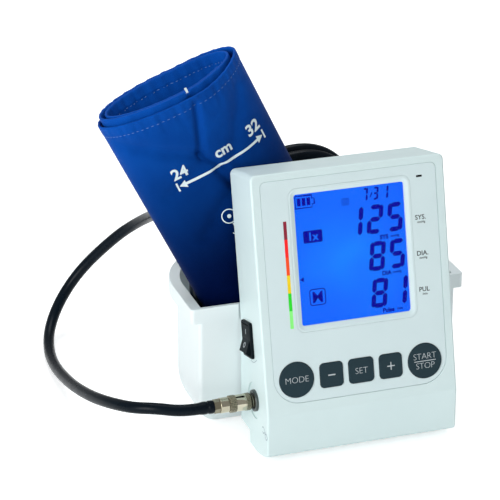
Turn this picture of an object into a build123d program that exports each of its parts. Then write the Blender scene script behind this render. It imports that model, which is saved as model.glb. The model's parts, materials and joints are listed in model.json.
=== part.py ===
from build123d import *
import math
import os

os.makedirs("parts", exist_ok=True)

# Desk blood pressure monitor with a cuff basket behind it.
# X runs to the right, Y to the back and Z up. The origin is on the table, under the
# middle of the basket's front to back depth and of the console's width.
# On the console, u runs right, v runs up the leaning face and w is the depth behind it.

# Console
lean = 13.33
console_width = 142.0
console_height = 196.2
console_depth = 45.75
wall = 2.6
face_y = -124.0
face_z = 13.0
crease_v = 27.0
chin_z = 8.5
foot_y = -88.0
foot_z = 0.6
heel_y = -78.5
heel_z = 10.0
back_y = -58.7
parting_w = 41.5
edge_radius = 1.5
top_corner_radius = 4.0
part_gap = 0.15

# Face plate and display
plate_margin = 6.5
plate_bottom_v = 34.15
plate_top_gap = 5.2
plate_recess = 1.2
plate_sink = 0.2
plate_low_radius = 19.0
plate_top_radius = 4.0
display_width = 81.0
display_top_margin = 11.3
display_low_margin = 24.1
display_radius = 2.0
bezel_slope = 2.9
bezel_flange = 4.3
bezel_collar = 2.35
glass_thickness = 1.0
lcd_border = 3.5
lcd_thickness = 2.2
backlight_thickness = 3.4
carrier_rim = 2.5
carrier_floor = 2.0
indicator_width = 4.4
indicator_height = 1.5
indicator_u = 52.0
indicator_drop = 13.95
indicator_side_flange = 1.0
indicator_top_flange = 0.5
indicator_flange_thickness = 0.8

# Keys
key_v = 50.9
key_gap = 0.3
key_travel = 0.8
key_proud = 0.5
end_key_radius = 12.6
end_key_inset = 16.65
small_key_width = 17.0
small_key_height = 17.5
set_key_width = 18.5
small_key_u = 22.1
small_key_radius = 3.0
key_flange = 1.2
key_flange_thickness = 1.2
key_flange_gap = 0.1
key_stem_radius = 3.0
key_rest_gap = 0.1
dome_radius = 4.0
dome_height = 0.9
mat_thickness = 1.0
mat_height = 22.0
mat_end_margin = 3.0

# Main board
board_thickness = 1.6
board_inset = 15.0
board_bottom_v = 38.0
board_top_gap = 5.2
board_screw_radius = 1.1
board_screw_head_radius = 2.4
board_screw_head_height = 1.8
board_screw_length = 6.0
standoff_radius = 3.0
standoff_inset = 4.0
standoff_low_v = 72.0
chip_height = 1.6
chips = [
    ((12, 12), [(-12, 128)]),
    ((8, 6), [(16, 130), (16, 118)]),
    ((6, 4), [(-30, 128), (-30, 120), (-30, 112)]),
]
capacitor_places = [(36, 118), (36, 130), (26, 100)]
capacitor_radius = 3.2
capacitor_height = 6.0
buzzer_place = (38, 84)
buzzer_radius = 6.0
buzzer_height = 5.0
buzzer_hole = 1.2

# Power switch on the left side
switch_v = 77.6
switch_w = 29.25
switch_bezel_length = 25.6
switch_bezel_width = 19.5
switch_bezel_proud = 2.2
switch_body_length = 24.0
switch_body_width = 17.5
switch_body_depth = 18.0
switch_slot_length = 22.4
switch_slot_width = 15.4
switch_slot_depth = 6.6
rocker_radius = 10.8
rocker_width = 14.8
rocker_swing = 10.0
rocker_tip = 27.0
rocker_root = 15.0
rocker_pivot_inset = 1.0
pin_radius = 1.0
pin_clearance = 0.05

# Air port and hose coupling on the left side
port_v = 33.4
port_w = 28.4
port_dish_radius = 13.0
port_dish_depth = 1.0
port_flange_proud = 1.2
port_ring_wall = 1.9
port_mouth_gap = 1.3
port_mouth_depth = 2.0
port_barrel_wall = 0.6
port_barrel_depth = 13.0
port_socket_radius = 4.2
port_socket_depth = 5.0
port_nut_size = 17.0
port_nut_thickness = 4.0
seal_lip = 1.0
nipple_radius = 1.6
nipple_length = 5.0
air_bore = 0.8
line_radius = 2.8
nose_radius = 3.6
nose_length = 5.2
collar_radius = 4.6
collar_length = 18.2
shank_step = 0.9
shank_length = 6.3
thread_length = 4.3
barb_radius = 2.4
barb_length = 10.5
sleeve_clearance = 0.06
sleeve_end_gap = 0.1
sleeve_length = 16.9
sleeve_wall = 1.29
sleeve_lip = 0.35
sleeve_nose = 1.4
sleeve_chamfer = 0.8
knurl_length = 3.8
knurl_height = 0.25
coupling_nut_size = 8.8

# Hose
hose_diameter = 8.5
crimp_swell = 0.5

# Pump and valve
pump_x = -19.0
pump_y = -78.0
pump_z = 66.0
pump_head = 26.0
pump_head_length = 22.0
motor_radius = 13.5
motor_length = 34.0
valve_radius = 7.0
valve_length = 18.0
valve_left_x = 24.0
manifold_size = 8.0
manifold_left_x = -44.0
manifold_right_x = -10.0
rib_inset = 4.0
rib_width = 2.0
cradle_wall = 2.0
cradle_reach = 2.0

# Battery bay
cell_radius = 7.1
cell_length = 50.0
cell_count = 4
cell_spacing = 0.8
cell_gap = 0.2
cell_door_gap = 1.15
bay_top_drop = 14.2
bay_wall = 1.8
contact_reach = 4.0
contact_thickness = 0.4
contact_radius = 2.5
contact_size = 10.0
door_thickness = 2.0
door_gap = 0.1
door_side = 6.0
door_low_reach = 4.0
door_tongue = 1.2
door_tongue_drop = 4.0
door_groove_play = 0.25
pad_side = 4.0
pad_low_reach = 3.0
pad_thickness = 2.75

# Housing screws and their posts
post_radius = 4.0
post_inset = 7.5
post_low_v = 110.0
post_top_drop = 3.0
post_meet_w = 22.0
screw_clearance = 0.2
housing_screw_radius = 1.45
housing_screw_head_w = 24.0
housing_screw_head_radius = 2.8
housing_screw_head_height = 2.2
housing_screw_length = 16.0

# Power inlet on the right side and rubber feet
jack_w = 29.0
jack_v = 44.0
jack_radius = 4.0
jack_bore = 2.75
jack_pin = 1.0
jack_length = 12.0
jack_proud = 0.4
jack_hole_depth = 9.0
jack_body_width = 11.0
jack_body_height = 9.0
foot_x = 48.0
foot_pad_y = -83.3
foot_pad_width = 22.0
foot_pad_depth = 7.0
foot_pad_sink = 1.0

# Pressure sensor on the back of the board
sensor_u = -38.0
sensor_v = 47.0
sensor_back_w = 17.0

# Basket
basket_x = -3.2
basket_width = 195.2
basket_front_y = -55.3
basket_back_y = 52.1
basket_height = 99.3
basket_wall = 2.0
basket_floor = 3.0
basket_back_radius = 64.0
basket_front_radius = 3.0
basket_base_radius = 26.0
rim_height = 11.0
rim_overhang = 5.9
rim_front_overhang = 1.0
boss_radius = 6.0
boss_x = 44.0
boss_z_low = 34.0
boss_z_high = 72.0
basket_screw_radius = 1.5
basket_screw_head_radius = 2.8
basket_screw_head_height = 2.0
basket_screw_length = 14.0
basket_post_radius = 4.0
basket_post_length = 8.7
rim_console_gap = 0.6

# Cuff, folded flat and standing in the basket
cuff_tilt = 24.6
cuff_top_u = -105.2
cuff_top_v = 255.2
cuff_w = 66.4
cuff_length = 175.0
cuff_top_width = 110.0
cuff_low_width = 105.0
cuff_top_thickness = 40.0
cuff_low_thickness = 28.0
cuff_edge_radius = 5.5
bladder_width = 84.0
bladder_length = 140.0
bladder_thickness = 2.0
bladder_start = 10.0
inlet_offset = -35.0
inlet_reach = 14.0
inlet_depth = 8.0
inlet_radius = 4.0
inlet_collar_radius = 5.2

# Hose route: free stretch from the coupling, then the coil behind the cuff, then the tail
hose_points = [
    (-140.9, -83.9, 41.7),
    (-155.1, -74.0, 39.7),
    (-164.4, -55.5, 35.5),
    (-170.8, -29.1, 28.4),
    (-174.4, 3.1, 20.3),
    (-175.6, 38.1, 12.5),
    (-175.2, 72.8, 6.3),
    (-172.4, 104.4, 4.0),
    (-166.2, 129.9, 8.8),
    (-155.5, 146.0, 21.1),
    (-142.1, 153.1, 36.9),
    (-127.5, 150.4, 55.1),
    (-108.0, 134.4, 80.7),
    (-97.7, 121.5, 93.8),
    (-92.8, 98.8, 108.1),
    (-92.5, 66.9, 124.1),
    (-93.0, 38.8, 137.8),
]
tail_points = [
    (27.1, -29.1, 34.7),
    (3.4, -34.1, 23.1),
    (-25.3, -36.8, 25.2),
]
coil_u = -22.6
coil_v = 106.8
coil_half_widths = (70.0, 68.6)
coil_half_heights = (89.5, 84.5)
coil_low_trim = 3.0
coil_tilt = 21.5
coil_depths = (102.5, 89.9)
coil_start = 120
coil_sweep = 490
coil_step = 35
coil_bump = 26.0
coil_bump_u = 3.0
coil_bump_at = -158
coil_bump_half = 62

lean_sin = math.sin(math.radians(lean))
lean_cos = math.cos(math.radians(lean))
half_width = console_width / 2
inner_half = half_width - wall


def lean_point(u, v, w):
    """Place of face coordinates u, v and depth w."""
    y = face_y + v * lean_sin + w * lean_cos
    z = face_z + v * lean_cos - w * lean_sin
    return (u, y, z)


def face_plane(w=0.0):
    """Plane parallel to the face at depth w, seen from the front."""
    return Plane(origin=lean_point(0, 0, w), x_dir=(1, 0, 0), z_dir=(0, -lean_cos, lean_sin))


def left_plane(x):
    """Side plane at x, seen from the left, with local axes -w and v."""
    origin = (x, face_y, face_z)
    return Plane(origin=origin, x_dir=(0, -lean_cos, lean_sin), z_dir=(-1, 0, 0))


def right_plane(x):
    """Side plane at x, seen from the right, with local axes w and v."""
    origin = (x, face_y, face_z)
    return Plane(origin=origin, x_dir=(0, lean_cos, -lean_sin), z_dir=(1, 0, 0))


def side_point(v, w):
    """The (y, z) place of v and w, for sketches on Plane.YZ."""
    return lean_point(0, v, w)[1:]


crease_y, crease_z = side_point(crease_v, 0)
bend_v = (back_y - face_y - console_depth * lean_cos) / lean_sin
parting_v = (heel_y - face_y - parting_w * lean_cos) / lean_sin

# Side profile of the console
with BuildSketch(Plane.YZ) as console_side:
    with BuildLine():
        Polyline(
            (foot_y, foot_z),
            (heel_y, foot_z),
            (heel_y, heel_z),
            (back_y, heel_z),
            side_point(bend_v, console_depth),
            side_point(console_height, console_depth),
            side_point(console_height, 0),
            (crease_y, crease_z),
            (crease_y, chin_z),
        )
        TangentArc((foot_y, foot_z), (crease_y, chin_z), tangent=(-1, 0))
    make_face()
    fillet(console_side.vertices().sort_by_distance((crease_y, crease_z))[0], 6)
    fillet(console_side.vertices().sort_by_distance((crease_y, chin_z))[0], 3)

# The space in front of the parting surface, as seen from the side
with BuildSketch(Plane.YZ) as front_side:
    with BuildLine():
        Polyline(
            (heel_y, -20),
            side_point(parting_v, parting_w),
            side_point(console_height + 40, parting_w),
            side_point(console_height + 40, -80),
            (crease_y - 60, -20),
            close=True,
        )
    make_face()

with BuildSketch(Plane.YZ) as cavity_side:
    add(console_side.sketch_local)
    offset(amount=-wall, kind=Kind.INTERSECTION)

upright = Vector(0, lean_cos, -lean_sin)


def runs_along(edge, direction):
    """True for a straight edge parallel to direction."""
    return edge.geom_type == GeomType.LINE and abs(edge.tangent_at(0).dot(direction)) > 0.99


with BuildPart() as console_block:
    extrude(console_side.sketch, amount=half_width, both=True)
    top_face = console_block.faces().sort_by(Axis.Z)[-1]
    fillet([e for e in top_face.edges() if runs_along(e, upright)], top_corner_radius)
    rims = [
        e
        for e in console_block.edges()
        if not runs_along(e, upright) and not runs_along(e, Vector(1, 0, 0))
    ]
    top_edges = console_block.faces().sort_by(Axis.Z)[-1].edges().filter_by(Axis.X)
    fillet(rims + list(top_edges), edge_radius)
    extrude(cavity_side.sketch, amount=inner_half, both=True, mode=Mode.SUBTRACT)

# Places derived from the sizes above
plate_half = half_width - plate_margin
plate_top_v = console_height - plate_top_gap
plate_height = plate_top_v - plate_bottom_v
plate_v = (plate_top_v + plate_bottom_v) / 2
plate_thickness = plate_recess - plate_sink
display_top_v = plate_top_v - display_top_margin
display_low_v = key_v + end_key_radius + display_low_margin
display_height = display_top_v - display_low_v
display_v = (display_top_v + display_low_v) / 2
bezel_outer_width = display_width + 2 * bezel_flange
bezel_outer_height = display_height + 2 * bezel_flange
collar_width = display_width + 2 * bezel_collar
collar_height = display_height + 2 * bezel_collar
lcd_width = display_width + 2 * lcd_border
lcd_height = display_height + 2 * lcd_border
backlight_w = wall + lcd_thickness
carrier_w = backlight_w + backlight_thickness
board_w = carrier_w + carrier_floor
key_flange_w = wall + key_flange_gap
key_stem_end = board_w - mat_thickness - dome_height - key_travel - key_rest_gap
end_key_u = plate_half - end_key_inset
board_half = half_width - board_inset
board_top_v = console_height - board_top_gap
board_back_w = board_w + board_thickness
post_u = half_width - post_inset
post_places = [(u, v) for u in (-post_u, post_u) for v in (post_low_v, board_top_v - post_top_drop)]
standoff_u = board_half - standoff_inset
standoff_top_v = board_top_v - standoff_inset
standoff_places = [(u, v) for u in (-standoff_u, standoff_u) for v in (standoff_low_v, standoff_top_v)]
indicator_v = console_height - indicator_drop
port_y, port_z = side_point(port_v, port_w)
port_mouth_radius = collar_radius + port_mouth_gap
port_flange_radius = port_mouth_radius + port_ring_wall
port_barrel_radius = port_mouth_radius + port_barrel_wall
rocker_x = -half_width + rocker_pivot_inset
boss_places = [(x, z) for x in (-boss_x, boss_x) for z in (boss_z_low, boss_z_high)]

key_shapes = {
    "mode_button": (-end_key_u, "round"),
    "minus_button": (-small_key_u, "small"),
    "set_button": (0.0, "set"),
    "plus_button": (small_key_u, "small"),
    "start_stop_button": (end_key_u, "round"),
}


def key_outline(kind, grow):
    """Outline of a key cap, larger by grow all round."""
    with BuildSketch() as outline:
        if kind == "round":
            Circle(end_key_radius + grow)
        elif kind == "set":
            RectangleRounded(set_key_width + 2 * grow, small_key_height + 2 * grow, small_key_radius + grow)
        else:
            RectangleRounded(small_key_width + 2 * grow, small_key_height + 2 * grow, small_key_radius + grow)
    return outline.sketch


def plate_outline(grow):
    """Outline of the face plate, larger by grow all round."""
    with BuildSketch() as outline:
        with Locations((0, plate_v)):
            Rectangle(2 * (plate_half + grow), plate_height + 2 * grow)
        fillet(outline.vertices().group_by(Axis.Y)[0], plate_low_radius + grow)
        fillet(outline.vertices().group_by(Axis.Y)[-1], plate_top_radius + grow)
    return outline.sketch


with BuildPart() as front_housing:
    add(console_block.part)
    extrude(front_side.sketch, amount=console_width, both=True, mode=Mode.INTERSECT)
    # Recess for the face plate, with openings for the display and the keys
    with BuildSketch(face_plane(0)):
        add(plate_outline(part_gap))
    extrude(amount=-plate_recess, mode=Mode.SUBTRACT)
    with BuildSketch(face_plane(0)):
        with Locations((0, display_v)):
            RectangleRounded(collar_width + 2 * part_gap, collar_height + 2 * part_gap, display_radius + 2)
        for u, kind in key_shapes.values():
            with Locations((u, key_v)):
                add(key_outline(kind, key_gap))
        with Locations((indicator_u, indicator_v)):
            RectangleRounded(indicator_width, indicator_height, 0.5)
    extrude(amount=-wall, mode=Mode.SUBTRACT)
    # Posts for the housing screws and standoffs for the board
    with BuildSketch(face_plane(wall)):
        with Locations(*post_places):
            Circle(post_radius)
            Circle(housing_screw_radius, mode=Mode.SUBTRACT)
    extrude(amount=-(post_meet_w - wall))
    with BuildSketch(face_plane(wall)):
        with Locations(*standoff_places):
            Circle(standoff_radius)
            Circle(board_screw_radius, mode=Mode.SUBTRACT)
    extrude(amount=-(board_w - wall))
    # Cradle ribs under the air manifold and the valve
    with BuildSketch(Plane.XY.offset(foot_z + wall)):
        with Locations((manifold_left_x + rib_inset, port_y), (manifold_right_x - rib_inset, port_y)):
            Rectangle(rib_width, manifold_size)
    extrude(amount=port_z - manifold_size / 2 - foot_z - wall)
    with BuildSketch(Plane.XY.offset(foot_z + wall)):
        with Locations((valve_left_x + rib_inset, port_y), (valve_left_x + valve_length - rib_inset, port_y)):
            Rectangle(rib_width, manifold_size)
    extrude(amount=port_z - foot_z - wall)
    with Locations(Plane(origin=(valve_left_x + valve_length / 2, port_y, port_z), z_dir=(1, 0, 0))):
        Cylinder(valve_radius, valve_length, mode=Mode.SUBTRACT)
    # Openings in the left and right walls
    with BuildSketch(left_plane(-half_width)):
        with Locations((-port_w, port_v)):
            Circle(port_dish_radius)
    extrude(amount=-port_dish_depth, mode=Mode.SUBTRACT)
    with BuildSketch(left_plane(-half_width)):
        with Locations((-port_w, port_v)):
            Circle(port_barrel_radius + part_gap)
        with Locations((-switch_w, switch_v)):
            RectangleRounded(switch_body_width + 2 * part_gap, switch_body_length + 2 * part_gap, 1.5)
    extrude(amount=-2 * wall, mode=Mode.SUBTRACT)
    with BuildSketch(right_plane(half_width)):
        with Locations((jack_w, jack_v)):
            Circle(jack_radius + part_gap)
    extrude(amount=-2 * wall, mode=Mode.SUBTRACT)
    # Shallow seats for the rubber feet
    with BuildSketch(Plane.XY.offset(foot_z)):
        with Locations((-foot_x, foot_pad_y), (foot_x, foot_pad_y)):
            RectangleRounded(foot_pad_width, foot_pad_depth, 1.5)
    extrude(amount=foot_pad_sink, mode=Mode.SUBTRACT)

with BuildPart() as face_plate:
    with BuildSketch(face_plane(plate_sink)):
        add(plate_outline(0))
        with Locations((0, display_v)):
            RectangleRounded(
                bezel_outer_width + 2 * part_gap, bezel_outer_height + 2 * part_gap, 6, mode=Mode.SUBTRACT
            )
        for u, kind in key_shapes.values():
            with Locations((u, key_v)):
                add(key_outline(kind, key_gap), mode=Mode.SUBTRACT)
        with Locations((indicator_u, indicator_v)):
            RectangleRounded(indicator_width, indicator_height, 0.5, mode=Mode.SUBTRACT)
    extrude(amount=-plate_thickness)
    fillet(face_plate.faces().sort_by(Axis.Y)[0].outer_wire().edges(), 0.4)

with BuildPart() as indicator_lens:
    with BuildSketch(face_plane(plate_sink + 0.1)):
        with Locations((indicator_u, indicator_v)):
            RectangleRounded(indicator_width, indicator_height, 0.5)
    extrude(amount=-(wall - plate_sink - 0.1))
    with BuildSketch(face_plane(wall)):
        with Locations((indicator_u, indicator_v)):
            RectangleRounded(
                indicator_width + 2 * indicator_side_flange, indicator_height + 2 * indicator_top_flange, 0.8
            )
    extrude(amount=-indicator_flange_thickness)

with BuildPart() as display_bezel:
    with BuildSketch(face_plane(plate_sink)):
        with Locations((0, display_v)):
            RectangleRounded(bezel_outer_width, bezel_outer_height, 6 - part_gap)
    extrude(amount=-plate_thickness)
    with BuildSketch(face_plane(plate_recess)):
        with Locations((0, display_v)):
            RectangleRounded(collar_width, collar_height, display_radius + 2 - part_gap)
    extrude(amount=-(wall - plate_recess))
    with BuildSketch(face_plane(plate_sink)):
        with Locations((0, display_v)):
            RectangleRounded(
                display_width + 2 * bezel_slope,
                display_height + 2 * bezel_slope,
                display_radius + bezel_slope,
            )
    with BuildSketch(face_plane(plate_recess)):
        with Locations((0, display_v)):
            RectangleRounded(display_width, display_height, display_radius)
    loft(mode=Mode.SUBTRACT)
    with BuildSketch(face_plane(plate_recess)):
        with Locations((0, display_v)):
            RectangleRounded(display_width, display_height, display_radius)
    extrude(amount=-(wall - plate_recess), mode=Mode.SUBTRACT)

with BuildPart() as display_window:
    with BuildSketch(face_plane(plate_recess)):
        with Locations((0, display_v)):
            RectangleRounded(display_width, display_height, display_radius)
    extrude(amount=-glass_thickness)

with BuildPart() as lcd_glass:
    with BuildSketch(face_plane(wall)):
        with Locations((0, display_v)):
            Rectangle(lcd_width, lcd_height)
    extrude(amount=-lcd_thickness)

with BuildPart() as backlight:
    with BuildSketch(face_plane(backlight_w)):
        with Locations((0, display_v)):
            Rectangle(lcd_width, lcd_height)
    extrude(amount=-backlight_thickness)

with BuildPart() as lcd_carrier:
    with BuildSketch(face_plane(wall)):
        with Locations((0, display_v)):
            RectangleRounded(lcd_width + 2 * carrier_rim, lcd_height + 2 * carrier_rim, 1.5)
    extrude(amount=-(board_w - wall))
    with BuildSketch(face_plane(wall)):
        with Locations((0, display_v)):
            Rectangle(lcd_width, lcd_height)
    extrude(amount=-(carrier_w - wall), mode=Mode.SUBTRACT)

with BuildPart() as main_board:
    with BuildSketch(face_plane(board_w)):
        with Locations((0, (board_bottom_v + board_top_v) / 2)):
            Rectangle(2 * board_half, board_top_v - board_bottom_v)
        with Locations(*standoff_places):
            Circle(board_screw_radius + part_gap, mode=Mode.SUBTRACT)
    extrude(amount=-board_thickness)
    # Chips on the back
    with BuildSketch(face_plane(board_back_w)):
        for size, places in chips:
            with Locations(*places):
                Rectangle(*size)
    extrude(amount=-chip_height)
    with BuildSketch(face_plane(board_back_w)):
        with Locations(*capacitor_places):
            Circle(capacitor_radius)
    extrude(amount=-capacitor_height)

with BuildPart() as key_mat:
    with BuildSketch(face_plane(board_w - mat_thickness)):
        with Locations((0, key_v)):
            RectangleRounded(2 * (end_key_u + dome_radius + mat_end_margin), mat_height, 3)
    extrude(amount=-mat_thickness)
    with BuildSketch(face_plane(board_w - mat_thickness - dome_height)):
        with Locations(*[(u, key_v) for u, kind in key_shapes.values()]):
            Circle(dome_radius)
    extrude(amount=-dome_height)

keys = {}
for name, (u, kind) in key_shapes.items():
    with BuildPart() as key:
        with BuildSketch(face_plane(-key_proud)):
            with Locations((u, key_v)):
                add(key_outline(kind, 0))
        extrude(amount=-(key_proud + key_flange_w))
        fillet(key.faces().sort_by(Axis.Y)[0].edges(), 0.4)
        with BuildSketch(face_plane(key_flange_w)):
            with Locations((u, key_v)):
                add(key_outline(kind, key_flange))
        extrude(amount=-key_flange_thickness)
        with BuildSketch(face_plane(key_flange_w)):
            with Locations((u, key_v)):
                Circle(key_stem_radius)
        extrude(amount=-(key_stem_end - key_flange_w))
    keys[name] = key

with BuildPart() as buzzer:
    with BuildSketch(face_plane(board_back_w)):
        with Locations(buzzer_place):
            Circle(buzzer_radius)
            Circle(buzzer_hole, mode=Mode.SUBTRACT)
    extrude(amount=-buzzer_height)

with BuildPart() as pressure_sensor:
    with BuildSketch(face_plane(board_back_w)):
        with Locations((sensor_u, sensor_v)):
            Rectangle(11, 9)
    extrude(amount=-(sensor_back_w - board_back_w))
    with BuildSketch(face_plane(sensor_back_w)):
        with Locations((sensor_u, sensor_v)):
            Circle(nipple_radius)
            Circle(air_bore, mode=Mode.SUBTRACT)
    extrude(amount=-nipple_length)

with BuildPart() as board_screws:
    with BuildSketch(face_plane(board_back_w)):
        with Locations(*standoff_places):
            Circle(board_screw_head_radius)
    extrude(amount=-board_screw_head_height)
    with BuildSketch(face_plane(board_back_w)):
        with Locations(*standoff_places):
            Circle(board_screw_radius)
    extrude(amount=board_screw_length)

with BuildPart() as rubber_feet:
    with BuildSketch(Plane.XY):
        with Locations((-foot_x, foot_pad_y), (foot_x, foot_pad_y)):
            RectangleRounded(foot_pad_width, foot_pad_depth, 1.5)
    extrude(amount=foot_z + foot_pad_sink)

# Power switch
switch_face = -half_width - switch_bezel_proud
with BuildPart() as switch_body:
    with BuildSketch(left_plane(-half_width)):
        with Locations((-switch_w, switch_v)):
            RectangleRounded(switch_bezel_width, switch_bezel_length, 2)
    extrude(amount=switch_bezel_proud)
    fillet(switch_body.faces().sort_by(Axis.X)[0].edges(), 0.7)
    with BuildSketch(left_plane(-half_width)):
        with Locations((-switch_w, switch_v)):
            RectangleRounded(switch_body_width, switch_body_length, 1.5)
    extrude(amount=-switch_body_depth)
    with BuildSketch(left_plane(switch_face)):
        with Locations((-switch_w, switch_v)):
            Rectangle(switch_slot_width, switch_slot_length)
    extrude(amount=-(switch_bezel_proud + switch_slot_depth), mode=Mode.SUBTRACT)
    with BuildSketch(left_plane(-half_width + switch_body_depth)):
        with Locations((-switch_w, switch_v - 6), (-switch_w, switch_v + 6)):
            Rectangle(4.8, 0.8)
    extrude(amount=-6)
    rocker_axis = Plane(
        origin=lean_point(rocker_x, switch_v, switch_w), x_dir=(-1, 0, 0), z_dir=tuple(upright)
    )
    with BuildSketch(rocker_axis):
        Circle(pin_radius)
    extrude(amount=switch_body_width / 2 - part_gap, both=True, mode=Mode.SUBTRACT)


def rocker_place(angle):
    """A point on the rocker's rim, at angle from the line along its length."""
    turn = math.radians(angle)
    return (rocker_radius * math.sin(turn), rocker_radius * math.cos(turn))


with BuildSketch() as rocker_outline:
    tip = rocker_place(rocker_tip)
    side = rocker_place((rocker_tip - rocker_root) / 2)
    root = rocker_place(-rocker_root)
    with BuildLine():
        Polyline((tip[0], -tip[1]), (switch_bezel_proud + rocker_pivot_inset, 0), tip)
        ThreePointArc(tip, side, root)
        Line(root, (root[0], -root[1]))
        ThreePointArc((root[0], -root[1]), (side[0], -side[1]), (tip[0], -tip[1]))
    make_face()

with BuildPart() as power_rocker:
    with BuildSketch(rocker_axis):
        add(rocker_outline.sketch, rotation=rocker_swing)
    extrude(amount=rocker_width / 2, both=True)
    with BuildSketch(rocker_axis):
        Circle(pin_radius + pin_clearance)
    extrude(amount=rocker_width, both=True, mode=Mode.SUBTRACT)

with BuildPart() as rocker_pin:
    with BuildSketch(rocker_axis):
        Circle(pin_radius)
    extrude(amount=switch_body_width / 2 - part_gap, both=True)

# Air port and coupling, along X
port_face_x = -half_width - port_flange_proud
socket_end_x = -half_width + port_socket_depth
barrel_end_x = -half_width + port_dish_depth + port_barrel_depth
collar_end_x = port_face_x - collar_length
shank_end_x = collar_end_x - shank_length
thread_end_x = shank_end_x - thread_length
hose_start_x = thread_end_x - barb_length
mouth_floor_x = port_face_x + port_mouth_depth
shank_radius = collar_radius + shank_step
sleeve_inner = collar_radius + sleeve_clearance
grip_radius = sleeve_inner + sleeve_wall
knurl_radius = grip_radius + knurl_height


def port_plane(x):
    """Plane square to the port's axis at x, facing left."""
    return Plane(origin=(x, port_y, port_z), x_dir=(0, -1, 0), z_dir=(-1, 0, 0))


def turned_plane(x):
    """Plane through the port's axis, with local x running left from x."""
    return Plane(origin=(x, port_y, port_z), x_dir=(-1, 0, 0), z_dir=(0, -1, 0))


with BuildPart() as air_port:
    with BuildSketch(port_plane(-half_width + port_dish_depth)):
        Circle(port_flange_radius)
        Circle(port_mouth_radius, mode=Mode.SUBTRACT)
    extrude(amount=port_dish_depth + port_flange_proud)
    fillet(air_port.faces().sort_by(Axis.X)[0].edges(), 0.8)
    with BuildSketch(port_plane(-half_width + port_dish_depth)):
        Circle(port_barrel_radius)
    extrude(amount=-port_barrel_depth)
    with BuildSketch(port_plane(mouth_floor_x)):
        Circle(port_mouth_radius)
    extrude(amount=port_mouth_depth, mode=Mode.SUBTRACT)
    with BuildSketch(port_plane(barrel_end_x)):
        Circle(nipple_radius)
    extrude(amount=-nipple_length)
    with BuildSketch(port_plane(port_face_x)):
        Circle(port_socket_radius)
    extrude(amount=port_face_x - socket_end_x, mode=Mode.SUBTRACT)
    with BuildSketch(port_plane(port_face_x)):
        Circle(air_bore)
    extrude(amount=-60, mode=Mode.SUBTRACT)

with BuildPart() as port_seal:
    with BuildSketch(port_plane(socket_end_x)):
        Circle(port_socket_radius)
        Circle(nose_radius, mode=Mode.SUBTRACT)
    extrude(amount=socket_end_x - mouth_floor_x)
    with BuildSketch(port_plane(mouth_floor_x)):
        Circle(port_mouth_radius)
        Circle(nose_radius, mode=Mode.SUBTRACT)
    extrude(amount=seal_lip)

with BuildPart() as port_nut:
    with BuildSketch(port_plane(-inner_half)):
        RegularPolygon(port_nut_size / 2, 6, major_radius=False)
        Circle(port_barrel_radius, mode=Mode.SUBTRACT)
    extrude(amount=-port_nut_thickness)

with BuildPart() as coupling_body:
    with BuildSketch(port_plane(port_face_x)):
        Circle(nose_radius)
    extrude(amount=-nose_length)
    with BuildSketch(port_plane(port_face_x)):
        Circle(collar_radius)
    extrude(amount=collar_length)
    with BuildSketch(port_plane(collar_end_x)):
        Circle(shank_radius)
    extrude(amount=shank_length)
    round_edges = coupling_body.edges().filter_by(GeomType.CIRCLE)
    fillet(round_edges.filter_by(lambda e: abs(e.radius - shank_radius) < 0.01), 0.4)
    with BuildSketch(port_plane(shank_end_x)):
        Circle(nose_radius)
    extrude(amount=thread_length)
    with BuildSketch(port_plane(thread_end_x)):
        Circle(barb_radius)
    extrude(amount=barb_length)
    with BuildSketch(port_plane(hose_start_x)):
        Circle(air_bore)
    extrude(amount=-80, mode=Mode.SUBTRACT)

with BuildPart() as coupling_sleeve:
    with BuildSketch(turned_plane(collar_end_x + sleeve_end_gap + sleeve_length)):
        front_knurl = sleeve_nose + knurl_length
        rear_knurl = sleeve_length - sleeve_chamfer - knurl_length
        with BuildLine():
            Polyline(
                (0, sleeve_inner),
                (0, sleeve_inner + sleeve_lip),
                (sleeve_nose, knurl_radius),
                (front_knurl, knurl_radius),
                (front_knurl, grip_radius),
                (rear_knurl, grip_radius),
                (rear_knurl, knurl_radius),
                (sleeve_length - sleeve_chamfer, knurl_radius),
                (sleeve_length, knurl_radius - sleeve_chamfer),
                (sleeve_length, sleeve_inner),
                close=True,
            )
        make_face()
    revolve(axis=Axis((0, port_y, port_z), (-1, 0, 0)))

with BuildPart() as coupling_nut:
    with BuildSketch(port_plane(shank_end_x)):
        RegularPolygon(coupling_nut_size / 2, 6, major_radius=False)
        Circle(nose_radius, mode=Mode.SUBTRACT)
    extrude(amount=thread_length)

hose_radius = hose_diameter / 2
with BuildPart() as hose_crimp:
    with BuildSketch(turned_plane(thread_end_x)):
        with BuildLine():
            Polyline(
                (0, barb_radius),
                (0, hose_radius + 0.15),
                (1, hose_radius + crimp_swell),
                (3.5, hose_radius + crimp_swell),
                (4.5, hose_radius + 0.05),
                (6, hose_radius + 0.35),
                (8, hose_radius + 0.35),
                (barb_length, hose_radius),
                (barb_length, barb_radius),
                close=True,
            )
        make_face()
    revolve(axis=Axis((0, port_y, port_z), (-1, 0, 0)))

# Pump, valve and air lines
pump_left_x = pump_x - pump_head_length / 2
pump_right_x = pump_x + pump_head_length / 2
pump_low_z = pump_z - pump_head / 2
manifold_top_z = port_z + manifold_size / 2


def x_plane(x, y, z):
    """Plane square to X, facing right, centred at the place given."""
    return Plane(origin=(x, y, z), x_dir=(0, 1, 0), z_dir=(1, 0, 0))


with BuildPart() as pump_motor:
    with BuildSketch(x_plane(pump_right_x, pump_y, pump_z)):
        Circle(motor_radius)
    extrude(amount=motor_length)
    fillet(pump_motor.faces().sort_by(Axis.X)[-1].edges(), 1.5)
    with BuildSketch(x_plane(pump_right_x + motor_length, pump_y, pump_z)):
        Circle(4)
        with Locations((-8, 0), (8, 0)):
            Rectangle(2.2, 0.6)
    extrude(amount=3)

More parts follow.
